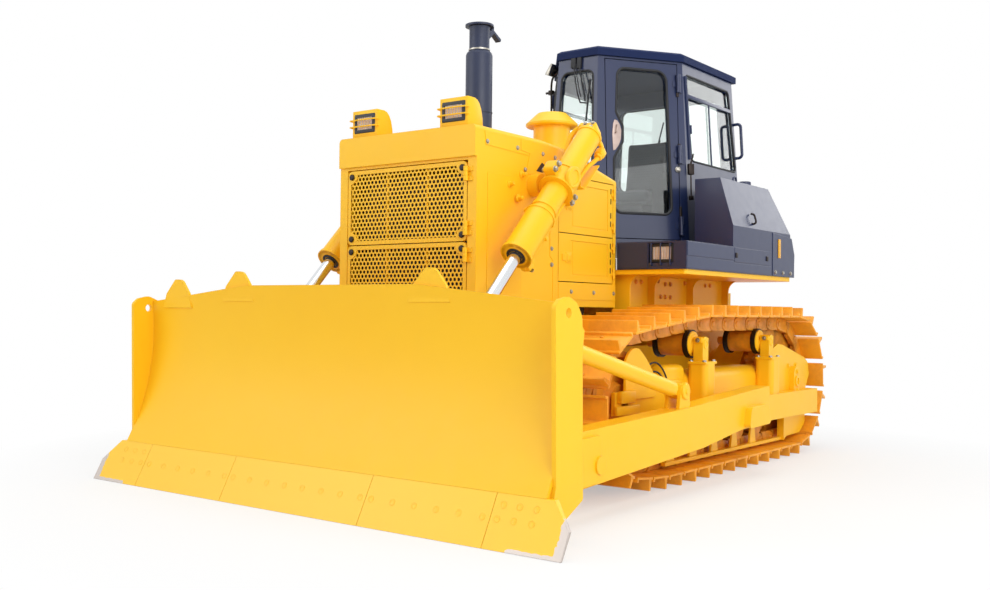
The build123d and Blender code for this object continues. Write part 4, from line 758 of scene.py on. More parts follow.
half = DOOR_HALF_WIDTH - RIM
for name in ("grille_upper", "grille_lower"):
    # the hinges stay within the door's own height, so its box gives the levels
    low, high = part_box(name)
    foot, head = low[2] + RIM, high[2] - RIM
    door = only(twin(nodes[name]))
    bpy.ops.object.mode_set(mode="EDIT")
    bpy.ops.mesh.select_all(action="SELECT")
    bpy.ops.mesh.remove_doubles(threshold=SAME_SPOT)
    for axis, limit in ((0, -half), (0, half), (2, foot), (2, head)):
        bisected(axis, limit)
    bpy.ops.object.mode_set(mode="OBJECT")

    def in_the_rim(faces):
        middles = [(face, face.calc_center_median()) for face in faces]
        return {face for face, at in middles if abs(at.x) < half - 0.0005 and foot + 0.0005 < at.z < head - 0.0005}

    on_faces(door, in_the_rim, lambda: bpy.ops.mesh.delete(type="FACE"))
    finished(door, f"{name}_rim", yellow_enamel, body=name)
    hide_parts(name)
    screen = punched_sheet((-half - LAP, SHEET_Y, foot - LAP), (half + LAP, SHEET_Y, head + LAP), SHEET)
    finished(screen, f"{name}_screen", yellow_enamel, body=name, angle=20)
    # clipped corners carry the black clamp knobs, and two ribs stiffen the sheet behind
    gussets, knobs = [], []
    for sx in (-1, 1):
        for edge, sz in ((low[2], 1), (high[2], -1)):
            corner = [(half + LAP, RIM * 0.8), (half - 0.062, RIM * 0.8), (half - 0.048, RIM + 0.034),
                      (half - 0.016, RIM + 0.058), (half + LAP, RIM + 0.066)]
            gussets.append(cut_plate([(sx * x, edge + sz * z) for x, z in corner], "y", DOOR_FACE, DOOR_FACE + 0.008))
            knobs.append(turned((sx * (half - 0.010), DOOR_FACE, edge + sz * (RIM + 0.014)), (0, -1, 0),
                                [(0, 0.021), (0.007, 0.0205), (0.012, 0.016), (0.013, 0.007)], 18))
    for x in (-0.16, 0.18):
        gussets.append(brick((x - 0.006, SHEET_Y + 0.003, foot - 0.002), (x + 0.006, SHEET_Y + 0.016, head + 0.002)))
    finished(merged(gussets), f"{name}_gussets", yellow_enamel, body=name)
    finished(merged(knobs), f"{name}_knobs", black_oxide, body=name, slot="dark_trim")

# %% [markdown]
# ## Blade bolts and pins
# Plow bolts hold the cutting edges: countersunk heads that sit in shallow dishes, flush with the
# face so that the spoil slides over them.  One dish with its head is turned and copied along the
# edge.  The lift rods' eyes turn on pins with round caps outside the lugs.

# %% Plow bolts
EDGE_SLOPE = math.radians(62)
EDGE_TIP_Y = -2.730
SPACING = 0.1496


def on_edge(x, z):
    """A place on the cutting edge's face, turned to face forwards."""
    return stand((x, EDGE_TIP_Y + z / math.tan(EDGE_SLOPE), z), (0, -math.sin(EDGE_SLOPE), math.cos(EDGE_SLOPE)))


def bolt_head():
    """A shallow ring with a sunken round head."""
    return turned((0, 0, -0.002), (0, 0, 1), [(0, 0.019), (0.0035, 0.0185), (0.0036, 0.0155), (0.0012, 0.0135),
                                              (0.0020, 0.011), (0.0022, 0.004)], 16)


low_row = [0.5, 1.5, 2.5, 3.5, 4.05, 5.07, 6.07, 7.07, 8.05, 9.05, 9.65, 10.32, 11.02]
heads = [on_edge(side * step * SPACING, 0.138) for step in low_row for side in (-1, 1)]
heads += [on_edge(side * step * SPACING, 0.204) for step in (9.75, 10.40, 11.06) for side in (-1, 1)]
finished(copied(bolt_head(), heads), "plow_bolts", worn_edge_enamel, body="blade_group", slot="worn_steel")

# %% Pin caps on the blade's lugs and ears
cap_steps = [(0, 0.052), (0.010, 0.052), (0.016, 0.046), (0.0165, 0.020), (0.022, 0.018), (0.0225, 0.008)]
# x of the lug, half its width, y and z: the rod's eye, the brace's front pin and its rear pin
pin_places = ((0.790, 0.0715, -2.275, 0.800), (1.405, 0.052, -2.200, 1.010), (1.405, 0.052, -0.653, 0.657))
caps = [stand((side * (x + way * half), y, z), (side * way, 0, 0)) for x, half, y, z in pin_places
        for side in (-1, 1) for way in (-1, 1)]
finished(copied(upright(cap_steps, 24), caps), "pin_caps", yellow_enamel, body="blade_group")

# %% [markdown]
# ## Lift cylinders' fittings
# Each barrel hangs in a split collar, clamped by four bolts, and swings on it.  Steel pipes,
# painted with the barrel, carry the oil: one arches from the head down its inner side, the other
# runs along its back to the gland.  They are modelled along an upright cylinder whose pivot is at
# the origin, and then laid on the real axis.

# %% Upright fittings, laid on the cylinder
PIVOT = Vector((0.790, -1.107, 1.981))
ROD_EYE = Vector((0.790, -2.275, 0.800))
down = (ROD_EYE - PIVOT).normalized()
front = down.cross(Vector((1, 0, 0)))
LAY_ON = Matrix(((1, 0, 0, PIVOT.x), (0, front.y, down.y, PIVOT.y), (0, front.z, down.z, PIVOT.z), (0, 0, 0, 1)))


def both_cylinders(obj, name, material, slot="yellow_paint"):
    """Lays a fitting on the left barrel, and its mirror image on the right one."""
    for side, matrix in (("left", LAY_ON), ("right", MIRROR @ LAY_ON)):
        finished(twin(obj, matrix), f"{name}_{side}", material, body=f"lift_barrel_{side}", slot=slot)
    bpy.data.objects.remove(obj)


print("cylinder", round((ROD_EYE - PIVOT).length, 3), "m between its pins")

# %% Collar bolts, bands and gland
collar_bolts = [stand((way * 0.0375, row, along), (way, 0, 0)) for way in (1, -1) for row in (-0.140, 0.140)
                for along in (-0.027, 0.027)]
both_cylinders(copied(hex_bolt(0.0165, 0.018), collar_bolts), "collar_bolts", zinc_plate)
# start along the barrel, outer and inner radius, and width of each band
band_sizes = ((-0.072, 0.118, 0.080, 0.012), (0.060, 0.118, 0.080, 0.012), (0.245, 0.088, 0.080, 0.034),
              (0.318, 0.101, 0.080, 0.014), (0.668, 0.104, 0.078, 0.022), (-0.505, 0.088, 0.060, 0.020))
bands = [ring((0, 0, along), (0, 0, 1), outer, inner, width) for along, outer, inner, width in band_sizes]
# oval pad with a raised rim on the collar's outer side
pad = turned((0.095, 0.030, -0.015), (1, 0, 0), [(0, 0.066), (0.020, 0.064), (0.026, 0.058), (0.0262, 0.044),
                                                 (0.018, 0.040), (0.0182, 0.02)], 28)
pad.data.transform(Matrix.Translation((0, 0.03, -0.015)) @ Matrix.Diagonal((1, 1.0, 1.25, 1))
                   @ Matrix.Translation((0, -0.03, 0.015)))
lug = brick((-0.020, -0.135, 0.250), (0.020, -0.080, 0.276), 0.005)
ear = brick((-0.150, -0.016, 0.236), (-0.080, 0.016, 0.270), 0.008)
both_cylinders(merged(bands + [pad, lug, ear]), "barrel_bands", yellow_enamel)
both_cylinders(ring((0, 0, 0.688), (0, 0, 1), 0.062, 0.043, 0.006), "rod_wiper", rubber, slot="dark_trim")

# %% Oil pipes and their fittings
pipes = [tube([(0.00, 0.030, -0.545), (-0.075, 0.035, -0.575), (-0.150, 0.010, -0.540), (-0.168, -0.040, -0.430),
               (-0.120, -0.085, -0.330),
               (-0.095, -0.090, -0.240)], 0.019),
         tube([(0.010, -0.030, -0.545), (0.030, -0.100, -0.550), (0.040, -0.150, -0.500), (0.030, -0.135, -0.390),
               (0.012, -0.112, -0.300),
               (0.008, -0.108, 0.100), (0.000, -0.118, 0.420), (0.000, -0.122, 0.640), (0.000, -0.105, 0.690)],
               0.016)]
blocks = [brick((-0.048, -0.050, -0.580), (0.048, 0.060, -0.500), 0.014),
          brick((0.006, -0.168, -0.520), (0.064, -0.110, -0.455), 0.010),
          brick((-0.030, -0.150, 0.615), (0.030, -0.088, 0.672), 0.010),
          brick((-0.030, -0.138, 0.375), (0.030, -0.092, 0.405), 0.006)]
nuts = copied(upright([(0, 0.030), (0.030, 0.030), (0.034, 0.026)], 6),
              [stand((-0.048, 0.034, -0.560), (-1, 0.05, -0.2)), stand((0.036, -0.142, -0.470), (-0.1, 0.1, 1)),
               stand((-0.107, -0.088, -0.290), (0.2, 0, 1)), stand((0.0, -0.122, 0.585), (0, 0, 1)),
               stand((0.0, 0.0, -0.600), (0, 0, 1))])
cover = cut_plate([(-0.178, -0.395), (-0.172, -0.400), (-0.166, -0.150), (-0.120, -0.118), (-0.124, -0.112),
                   (-0.173, -0.146)], "x",
                  -0.052, 0.052, 0.002)
both_cylinders(merged(pipes + blocks + [nuts, cover]), "oil_pipes", yellow_enamel)
pipe_bolts = [stand((x, 0.062, along), (0, 1, 0)) for along in (-0.560, -0.520) for x in (0.030, -0.030)]
pipe_bolts += [stand((0.028, -0.151, 0.655), (0, -1, 0)), stand((0.0, -0.180, -0.260), (0, -1, 0))]
both_cylinders(copied(hex_bolt(0.011, 0.010), pipe_bolts), "pipe_bolts", zinc_plate)

# %% [markdown]
# ## Lamps
# The header lamps are rectangular work lights: a moulded black surround, a pressed-glass lens over
# a metallised bowl, and two thin guard bars that reach over the box.  The fender lamps behind
# their upright bars are the same light.  A surround is a frame: a plate whose face is inset and
# pushed through; the lens is a plate with flutes raised on it.

# %% One work light, facing forwards
FLUTES = 7


def lamp_frame(x0, x1, z0, z1, y, depth, rim):
    """A black frame round an opening, its face at y."""
    def push_through():
        bpy.ops.mesh.inset(thickness=rim)
        bpy.ops.mesh.extrude_region_move(TRANSFORM_OT_translate={"value": (0, depth * 0.7, 0)})

    def face_plate(faces):
        return {max((face for face in faces if face.normal.y < -0.99), key=lambda face: face.calc_area())}

    return on_faces(brick((x0, y, z0), (x1, y + depth, z1), 0.008, 3), face_plate, push_through)


def fluted_lens(x0, x1, z0, z1, y):
    """A lens plate with upright flutes."""
    width = (x1 - x0) / FLUTES
    wave = ((0.02, 0.001), (0.25, -0.003), (0.5, -0.004), (0.75, -0.003), (0.98, 0.001))
    outline = [(x0, y + 0.010)]
    outline += [(x0 + (k + share) * width, y + rise) for k in range(FLUTES) for share, rise in wave]
    outline.append((x1, y + 0.010))
    return cut_plate(outline, "z", z0, z1)


def work_light(x0, x1, z0, z1, y):
    """Surround, bowl and lens in an opening, as three objects."""
    frame_part = lamp_frame(x0, x1, z0, z1, y, 0.030, 0.015)
    bowl = brick((x0 + 0.016, y + 0.015, z0 + 0.016), (x1 - 0.016, y + 0.023, z1 - 0.016), 0.003)
    lens = fluted_lens(x0 + 0.024, x1 - 0.024, z0 + 0.024, z1 - 0.024, y + 0.006)
    return frame_part, bowl, lens


# %% Header lamp boxes
LAMP_FRONT, LAMP_FOOT, LAMP_TOP = -1.700, 2.3023, 2.487
LAMP_INNER, LAMP_OUTER = 0.268, 0.490
box_side = [(LAMP_FRONT, LAMP_FOOT), (LAMP_FRONT, LAMP_TOP), (-1.628, LAMP_TOP), (-1.600, 2.478), (-1.578, 2.458),
            (-1.560, 2.425), (-1.545, 2.370),
            (-1.540, LAMP_FOOT)]
lamp_boxes = copied(eased(cut_plate(box_side, "x", LAMP_INNER, LAMP_OUTER), 0.004), BOTH_SIDES)
finished(lamp_boxes, "lamp_boxes", yellow_enamel)
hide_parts("lamps")

# %% Four work lights
openings = ((0.286, 0.472, 2.334, 2.463, -1.706), (0.851, 1.049, 1.516, 1.655, -0.012))
surrounds, bowls, lenses = zip(*[work_light(*opening) for opening in openings])
on_both_sides(merged(surrounds), "lamp_surrounds", trim_plastic, slot="dark_trim")
on_both_sides(merged(bowls), "lamp_bowls", lamp_bowl, slot="chromed_rod")
on_both_sides(merged(lenses), "lamp_lenses", lamp_glass, slot="window_glass")
BAR_Y = -1.724
bars = []
for side in (-1, 1):
    for z in (2.376, 2.420):
        bar = ((0.262, -1.690), (0.262, BAR_Y), (0.285, BAR_Y - 0.004), (0.478, BAR_Y - 0.004), (0.496, BAR_Y),
               (0.496, -1.690))
        bars.append(tube([(side * x, y, z) for x, y in bar], 0.005))
finished(merged(bars), "lamp_guard_bars", yellow_enamel)

# %% [markdown]
# ## Sheet-metal covers and fasteners on the hood
# The hood is a row of bolted covers.  Thin sheets with real edges draw the same lines as on the
# machine: a top cover, a cover over the cylinder's boss and a lower strip.  The bolts are zinc
# plated.

# %% Covers, and bolts on the hood's sides
SIDE, SHEET_METAL = 0.578, 0.003
outlines = (
    [(-1.640, 2.272), (-1.258, 2.272), (-1.255, 2.192), (-1.160, 2.187), (-1.160, 2.172), (-1.628, 2.186)],
    [(-1.250, 2.272), (-0.812, 2.264), (-0.812, 2.120), (-0.940, 2.120), (-1.009, 2.060), (-1.190, 2.050),
     (-1.150, 2.187),
     (-1.250, 2.197)],
    oblong(-0.790, 1.352, -0.022, 1.240),
    [(-0.900, 2.120), (-0.812, 2.120), (-0.812, 1.215), (-0.862, 1.215), (-0.862, 1.500), (-0.900, 1.530)])
covers = [cut_plate(outline, "x", SIDE, SIDE + SHEET_METAL) for outline in outlines]
guard_side = [(-1.605, 2.018), (-1.240, 2.020), (-1.240, 1.120), (-1.300, 1.050), (-1.605, 1.050)]
covers.append(cut_plate(guard_side, "x", SIDE, SIDE + 0.0025))
on_both_sides(merged(covers), "hood_covers", yellow_enamel)
spots = [(-1.613, 2.207), (-1.290, 2.207), (-0.997, 2.203), (-0.850, 2.196), (-1.199, 2.077), (-0.877, 1.472),
         (-0.880, 1.580), (-0.880, 1.950),
         (-0.630, 1.296), (-0.331, 1.294), (-0.050, 1.294)]
bolts = [stand((SIDE + 0.002, y, z), (1, 0, 0)) for y, z in spots]
on_both_sides(copied(hex_bolt(0.012, 0.010), bolts), "hood_bolts", zinc_plate)

# %% Latch squares, pressed panels, and dark marks painted as the shade in the hinge slots of the engine doors
LATCH_Y, PANEL_FRONT, PANEL_REAR, PANEL_EDGE = -0.664, -0.606, -0.142, 0.052
SLOT_Y = -0.095
door_rows = (("upper", 1.701, 2.088, (2.039, 1.966, 1.862, 1.800)),
             ("lower", 1.366, 1.695, (1.638, 1.575, 1.523, 1.460)))
for level, z0, z1, slot_heights in door_rows:
    middle = (z0 + z1) / 2
    for side, turn in (("left", Matrix()), ("right", MIRROR)):
        body = f"engine_door_{level}_{side}"
        trim = [cut_plate(oblong(PANEL_FRONT, z0 + PANEL_EDGE, PANEL_REAR, z1 - PANEL_EDGE), "x", SIDE - 0.006,
                          SIDE - 0.003)]
        for x, size in ((SIDE + 0.0015, 0.036), (SIDE + 0.006, 0.024)):
            trim.append(brick((x - 0.004, LATCH_Y - size, middle - size * 1.05),
                              (x + 0.003, LATCH_Y + size, middle + size * 1.05), 0.003))
        finished(laid(merged(trim), turn), f"door_trim_{level}_{side}", yellow_enamel, body=body)
        # each hinge slot is a thin dark mark: the shade inside the slot is painted
        slot_shade_mark = brick((-0.001, -0.006, -0.020), (0.003, 0.006, 0.020), 0.0015)
        marks = copied(slot_shade_mark, [Matrix.Translation((SIDE - 0.001, SLOT_Y, z)) for z in slot_heights])
        finished(laid(marks, turn), f"door_slot_shades_{level}_{side}", black_oxide, body=body, slot="dark_trim")

# %% Dark plates painted as the shade in the boss openings, and studs
# a dark plate on the hood side stands for an opening by the boss: the shade inside it is painted
window = cut_plate([(-1.075, 2.081), (-1.009, 2.145), (-0.949, 2.124), (-1.000, 2.078)], "x", SIDE + 0.0025,
                   SIDE + 0.004)
on_both_sides(window, "boss_opening_shade", core_fins, slot="dark_trim")
pins_out = [stand((SIDE, -1.373, 1.966), (1, 0, 0)), stand((SIDE + 0.02, -1.300, 1.880), (1, -0.2, 0)),
            stand((SIDE, -1.240, 2.040), (1, 0, 0))]
knob = upright([(0, 0.026), (0.010, 0.024), (0.012, 0.014), (0.040, 0.013), (0.044, 0.009)], 14)
on_both_sides(copied(knob, pins_out), "hood_studs", yellow_enamel)

# %% [markdown]
# ## Cab trim
# Every pane sits in a rubber seal.  The seal's line is the pane's own edge, so each pane is copied,
# cut down to its outer face, and that face's rim becomes a curve with a round bevel.  Other trim
# lies on the cab's sloping walls: it is modelled flat, with the wall as the ground, and then laid
# on the wall.

# %% Walls of the cab
FLOOR_Z, EAVES_Z = 1.6703, 3.190


def wall(low_a, low_b, high_a, high_b):
    """Matrix of a wall: x along it, y up it, z outwards, from the middle of its foot."""
    low_a, low_b = Vector((*low_a, FLOOR_Z)), Vector((*low_b, FLOOR_Z))
    high = (Vector((*high_a, EAVES_Z)) + Vector((*high_b, EAVES_Z))) / 2
    foot, along = (low_a + low_b) / 2, (low_b - low_a).normalized()
    up = high - foot
    up = (up - along * up.dot(along)).normalized()
    out = along.cross(up)
    return Matrix(((along.x, up.x, out.x, foot.x), (along.y, up.y, out.y, foot.y), (along.z, up.z, out.z, foot.z),
                   (0, 0, 0, 1)))


FRONT_WALL = wall((-0.230, 0.270), (0.230, 0.270), (-0.1807, 0.3642), (0.1807, 0.3642))
DOOR_WALL = wall((0.230, 0.270), (0.700, 0.9468), (0.1807, 0.3642), (0.6058, 0.9763))
SIDE_WALL = wall((0.700, 0.9468), (0.700, 1.976), (0.6058, 0.9763), (0.6058, 1.9335))
REAR_WALL = wall((0.700, 1.976), (-0.700, 1.976), (0.6058, 1.9335), (-0.6058, 1.9335))


# %% Seals round the panes
CAB_CORE = Vector((0, 1.15, 2.5))


def seals(node, radius, lift):
    """Round rubber seals along the outer rims of a node's panes."""
    only(twin(nodes[node]))
    bpy.ops.object.mode_set(mode="EDIT")
    bpy.ops.mesh.select_all(action="SELECT")
    bpy.ops.mesh.remove_doubles(threshold=SAME_SPOT)
    bpy.ops.mesh.dissolve_limited(angle_limit=math.radians(3))
    bpy.ops.mesh.separate(type="LOOSE")
    bpy.ops.object.mode_set(mode="OBJECT")
    rims = []
    for pane in list(bpy.context.selected_objects):
        facing = []

        def all_but_outer(faces):
            outer = max(faces, key=lambda face: face.calc_area() *
                        (1.1 if face.normal.dot(face.calc_center_median() - CAB_CORE) > 0 else 1.0))
            facing.append(outer.normal.copy())
            return set(faces) - {outer}

        def leave_the_rim():
            bpy.ops.mesh.delete(type="FACE")
            bpy.ops.mesh.select_all(action="SELECT")
            bpy.ops.mesh.delete(type="ONLY_FACE")

        on_faces(pane, all_but_outer, leave_the_rim)
        only(laid(pane, Matrix.Translation(facing[0] * lift)))
        bpy.ops.object.convert(target="CURVE")
        rim = bpy.context.object
        rim.data.bevel_depth, rim.data.bevel_resolution = radius, 2
        bpy.ops.object.convert(target="MESH")
        rims.append(bpy.context.object)
    return merged(rims)


finished(seals("cab_glass", 0.010, 0.016), "window_seals", rubber, slot="dark_trim", angle=50)
for side in ("left", "right"):
    finished(seals(f"door_glass_{side}", 0.012, 0.016), f"door_seal_{side}", rubber, body=f"cab_door_{side}",
             slot="dark_trim", angle=50)

# %% Door furniture
def on_both_doors(obj, name, material, slot="dark_trim"):
    """Lays door trim on the left door and its mirror image on the right one."""
    for side, matrix in (("left", DOOR_WALL), ("right", MIRROR @ DOOR_WALL)):
        finished(twin(obj, matrix), f"{name}_{side}", material, body=f"cab_door_{side}", slot=slot)
    bpy.data.objects.remove(obj)


plate = cut_plate([(-0.246, 0.765), (-0.226, 0.770), (-0.196, 0.810), (-0.176, 0.860), (-0.171, 0.930),
                   (-0.184, 0.975), (-0.206, 1.008),
                   (-0.230, 1.012), (-0.242, 0.980), (-0.250, 0.900)], "z", 0.0, 0.004, 0.002)
on_both_doors(plate, "handle_plate", polished_plate, slot="chromed_rod")
grip = tube([(-0.226, 0.905, 0.002), (-0.226, 0.905, 0.024), (-0.220, 0.930, 0.030), (-0.214, 0.965, 0.026),
             (-0.214, 0.970, 0.002)], 0.006)
on_both_doors(grip, "door_grip", polished_plate, slot="chromed_rod")
straps = [brick((x - 0.011, low, 0.001), (x + 0.011, high, 0.012), 0.003) for x, low, high in
          ((0.331, 1.232, 1.412), (0.338, 0.690, 0.850), (0.338, 0.180, 0.340))]
catch = turned((0.322, 0.640, 0.0), (0, 0, 1), [(0, 0.024), (0.009, 0.024), (0.012, 0.018), (0.018, 0.016),
                                                (0.021, 0.010)], 18)
on_both_doors(merged(straps), "hinge_straps", black_oxide)
on_both_doors(catch, "door_catch", zinc_plate, slot="chromed_rod")
stay = [brick((0.405, 0.600, 0.002), (0.455, 0.690, 0.034), 0.006),
        tube([(0.430, 0.690, 0.020), (0.440, 0.730, 0.028), (0.455, 0.770, 0.020)], 0.007),
        brick((0.412, 0.395, 0.002), (0.446, 0.430, 0.030), 0.005),
        tube([(0.429, 0.430, 0.018), (0.425, 0.520, 0.024), (0.430, 0.602, 0.018)], 0.006)]
stay = laid(merged(stay), DOOR_WALL)
on_both_sides(stay, "door_stays", black_oxide, slot="dark_trim")

# %% Side window frames, wipers and mirrors
frames_out = [tube([(-0.430, 0.735, 0.004), (-0.432, 1.10, 0.004), (-0.448, 1.415, 0.004)], 0.013),
              brick((-0.425, 1.243, -0.010), (0.420, 1.275, 0.006), 0.004),
              brick((-0.010, 0.730, -0.014), (0.012, 1.250, -0.004), 0.003),
              brick((-0.402, 0.950, -0.012), (-0.380, 1.022, 0.012), 0.004)]
on_both_sides(laid(merged(frames_out), SIDE_WALL), "sliding_window_bars", navy_enamel, slot="cab_paint")
wiper = [tube([(-0.030, 1.500, 0.012), (-0.020, 1.420, 0.030), (0.030, 1.200, 0.030), (0.052, 1.145, 0.022)], 0.006),
         tube([(0.020, 1.500, 0.012), (0.030, 1.430, 0.030), (0.085, 1.250, 0.032), (0.100, 1.170, 0.024)], 0.006),
         tube([(0.052, 1.150, 0.022), (0.110, 1.140, 0.020)], 0.006),
         tube([(0.126, 1.330, 0.010), (0.112, 1.180, 0.008), (0.104, 1.000, 0.010)], 0.008),
         brick((-0.055, 1.440, 0.000), (-0.010, 1.520, 0.024), 0.005),
         brick((0.002, 1.430, 0.000), (0.040, 1.520, 0.024), 0.005),
         tube([(-0.006, 1.470, 0.020), (0.000, 1.400, 0.032), (0.060, 1.190, 0.034)], 0.004)]
rear_wiper = [tube([(0.30, 0.640, 0.014), (0.20, 0.860, 0.030), (0.10, 1.080, 0.016)], 0.006),
              tube([(0.060, 1.240, 0.008), (0.130, 1.000, 0.006), (0.170, 0.840, 0.008)], 0.007),
              brick((0.270, 0.560, 0.0), (0.330, 0.640, 0.030), 0.006)]
finished(merged([laid(merged(wiper), FRONT_WALL), laid(merged(rear_wiper), REAR_WALL)]), "wipers", rubber,
         slot="dark_trim")
# mirror on its rod, carried by the right door
rod_line = [(-0.305, 0.550, 3.150), (-0.375, 0.570, 3.130), (-0.420, 0.610, 3.060), (-0.425, 0.630, 2.900),
            (-0.440, 0.640, 2.700), (-0.390, 0.640, 2.650)]
finished(merged([tube(rod_line, 0.009), ring((-0.424, 0.622, 2.985), (0, 0, 1), 0.026, 0.009, 0.034),
                 turned((-0.445, 0.622, 3.003), (-1, 0, 0), [(0, 0.010), (0.030, 0.010), (0.034, 0.006)], 10)]),
         "mirror_rod", black_oxide, body="cab_door_right", slot="dark_trim")
mirror_back = cut_plate([(-0.375, 3.120), (-0.338, 3.215), (-0.352, 3.222), (-0.415, 3.135)], "y", 0.500, 0.620,
                        0.006)
finished(mirror_back, "mirror", zinc_plate, body="cab_door_right", slot="chromed_rod")

# %% [markdown]
# ## Seat
# The operator's seat is a foam cushion and back under woven cloth, on a sprung base with a rubber
# bellows.  Foam swells against its cover, so the two pads are blown up a little in a cloth
# simulation with pressure inside, started smaller than the seat, and the result is applied.

# %% Pads
FOAM_MESH, FOAM_PRESSURE, FOAM_STEPS = 0.012, 4.0, 20
MOST_SWELL = 0.014               # no spot of the cover moves further than this


def stuffed(obj, name):
    """Blows a closed shape up like a cushion and smooths it."""
    only(obj)
    remesh = obj.modifiers.new("even", "REMESH")
    remesh.mode, remesh.voxel_size = "VOXEL", FOAM_MESH
    bpy.ops.object.modifier_apply(modifier=remesh.name)
    start = [vertex.co.copy() for vertex in obj.data.vertices]
    cloth = obj.modifiers.new("foam", "CLOTH")
    cloth.settings.use_pressure, cloth.settings.uniform_pressure_force = True, FOAM_PRESSURE
    cloth.settings.effector_weights.gravity = 0.0
    cloth.settings.quality = 4
    for step in range(1, FOAM_STEPS + 1):
        bpy.context.scene.frame_set(step)
    only(obj)
    bpy.ops.object.modifier_apply(modifier=cloth.name)
    for vertex, before in zip(obj.data.vertices, start):
        moved = vertex.co - before
        if moved.length > MOST_SWELL:
            vertex.co = before + moved * (MOST_SWELL / moved.length)
    bpy.context.scene.frame_set(1)
    smooth = obj.modifiers.new("smooth", "SUBSURF")
    smooth.levels = smooth.render_levels = 1
    bpy.ops.object.modifier_apply(modifier=smooth.name)
    finished(obj, name, seat_cloth, slot="seat_fabric", angle=60)
    return obj


def pad(outline, half, ease):
    """A pad from its side outline (y, z)."""
    return eased(cut_plate(outline, "x", -half, half), ease, 3)


cushion_line = [(1.075, 2.100), (1.075, 2.165), (1.110, 2.188), (1.470, 2.175), (1.500, 2.180), (1.500, 2.095)]
back_line = [(1.495, 2.215), (1.515, 2.430), (1.535, 2.640), (1.565, 2.680), (1.595, 2.660), (1.592, 2.215)]
cushion = stuffed(pad(cushion_line, 0.232, 0.018), "seat_cushion")
stuffed(pad(back_line, 0.215, 0.016), "seat_back")

# %% Bellows and frame under the seat
FOLDS, FOLD = 5, 0.050
bellows = [(1.135, 2.078), (1.485, 2.078)]
for k in range(FOLDS):
    bellows += [(1.495, 2.040 - FOLD * k), (1.465, 2.015 - FOLD * k)]
bellows += [(1.495, 1.760), (1.495, 1.715), (1.125, 1.715), (1.125, 1.760)]
for k in reversed(range(FOLDS)):
    bellows += [(1.155, 2.015 - FOLD * k), (1.125, 2.040 - FOLD * k)]
base = merged([cut_plate(bellows, "x", -0.170, 0.170), brick((-0.225, 1.100, 2.072), (0.225, 1.500, 2.094), 0.008),
               brick((-0.190, 1.594, 2.200), (0.190, 1.606, 2.640), 0.004),
               *[tube([(side * 0.20, 1.52, 2.06), (side * 0.20, 1.58, 2.10), (side * 0.18, 1.600, 2.25)], 0.012)
                 for side in (-1, 1)]])
finished(base, "seat_base", rubber, slot="dark_trim")
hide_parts("seat")

# %% Dashboard and lever knobs
dials = [turned((x, 0.520, 2.270), (0, 1, 0.5), [(0, 0.030), (0.016, 0.030), (0.018, 0.024), (0.012, 0.022)], 20)
         for x in (-0.11, 0.0, 0.11)]
shelf = cut_plate([(0.400, 2.330), (0.470, 2.350), (0.545, 2.275), (0.545, 2.240), (0.400, 2.240)], "x", -0.20, 0.20,
                  0.008)
knobs = [turned((side * 0.3605, 1.112, 2.440), (0, -0.1, 1), [(-0.030, 0.012), (-0.018, 0.019), (0.004, 0.024),
                                                              (0.020, 0.021), (0.030, 0.010)], 16)
         for side in (-1, 1)]
boots = [turned((side * 0.369, 1.146, 2.278), (0, -0.1, 1), [(0, 0.045), (0.012, 0.040), (0.020, 0.034),
                                                             (0.030, 0.032), (0.042, 0.022), (0.055, 0.017)], 20)
         for side in (-1, 1)]
rests = [brick((side * 0.370 - 0.050, 1.240, 2.284), (side * 0.370 + 0.050, 1.490, 2.330), 0.018, 3)
         for side in (-1, 1)]
finished(merged(dials + [shelf] + knobs + boots + rests), "cab_controls_trim", trim_plastic, slot="dark_trim")

# %% [markdown]
# ## Fenders
# The fender boxes carry plain covers: a bare name strip, a long access panel with two latches and
# a bolted rear cover with an amber reflector.  Each is a thin sheet with its own edge.

# %% Covers, latches, reflectors
FENDER = 1.150
sheet_outlines = (
    (oblong(-0.012, 1.566, 0.786, 1.665), 0.004), (oblong(0.794, 1.553, 1.515, 1.665), 0.003),
    ([(-0.012, 1.476), (1.515, 1.476), (1.515, 1.545), (0.794, 1.545), (0.786, 1.558), (-0.012, 1.558)], 0.002),
    ([(1.545, 1.474), (2.014, 1.474), (2.026, 1.660), (1.960, 1.800), (1.545, 1.825)], 0.004))
sheets = [cut_plate(outline, "x", FENDER, FENDER + depth) for outline, depth in sheet_outlines]
sheets.append(cut_plate(oblong(0.600, 1.478, 0.845, 1.664), "y", -0.024, -0.020))
on_both_sides(merged([eased(sheet, 0.0012, 1) for sheet in sheets]), "fender_covers", navy_enamel, slot="cab_paint")
reflector = brick((FENDER + 0.003, 1.655, 1.622), (FENDER + 0.010, 1.706, 1.778), 0.003)
on_both_sides(reflector, "reflectors", amber_plastic, slot="dark_trim")
foot_bolts = [stand((FENDER + 0.003, y, 1.502), (1, 0, 0)) for y in (1.600, 1.765, 1.935)]
on_both_sides(copied(hex_bolt(0.014, 0.012), foot_bolts), "cover_bolts", zinc_plate)
latches = [brick((FENDER + 0.002, y - 0.020, 1.585), (FENDER + 0.010, y + 0.020, 1.625), 0.004)
           for y in (0.823, 1.425)]
slope_x = 1.1285
handle = tube([(slope_x - 0.004, 1.160, 1.950), (slope_x + 0.022, 1.160, 1.950), (slope_x + 0.034, 1.162, 1.910),
               (slope_x + 0.040, 1.166, 1.872),
               (slope_x + 0.012, 1.166, 1.868)], 0.008)
slot_plate = brick((slope_x - 0.008, 1.140, 1.862), (slope_x + 0.010, 1.190, 1.880), 0.004)
on_both_sides(merged(latches + [handle, slot_plate]), "cover_latches", black_oxide, slot="dark_trim")
loop = tube([(0.975, 1.150, 2.200), (0.975, 1.150, 2.240), (0.975, 1.185, 2.262), (0.975, 1.220, 2.240),
             (0.975, 1.220, 2.200)], 0.008)
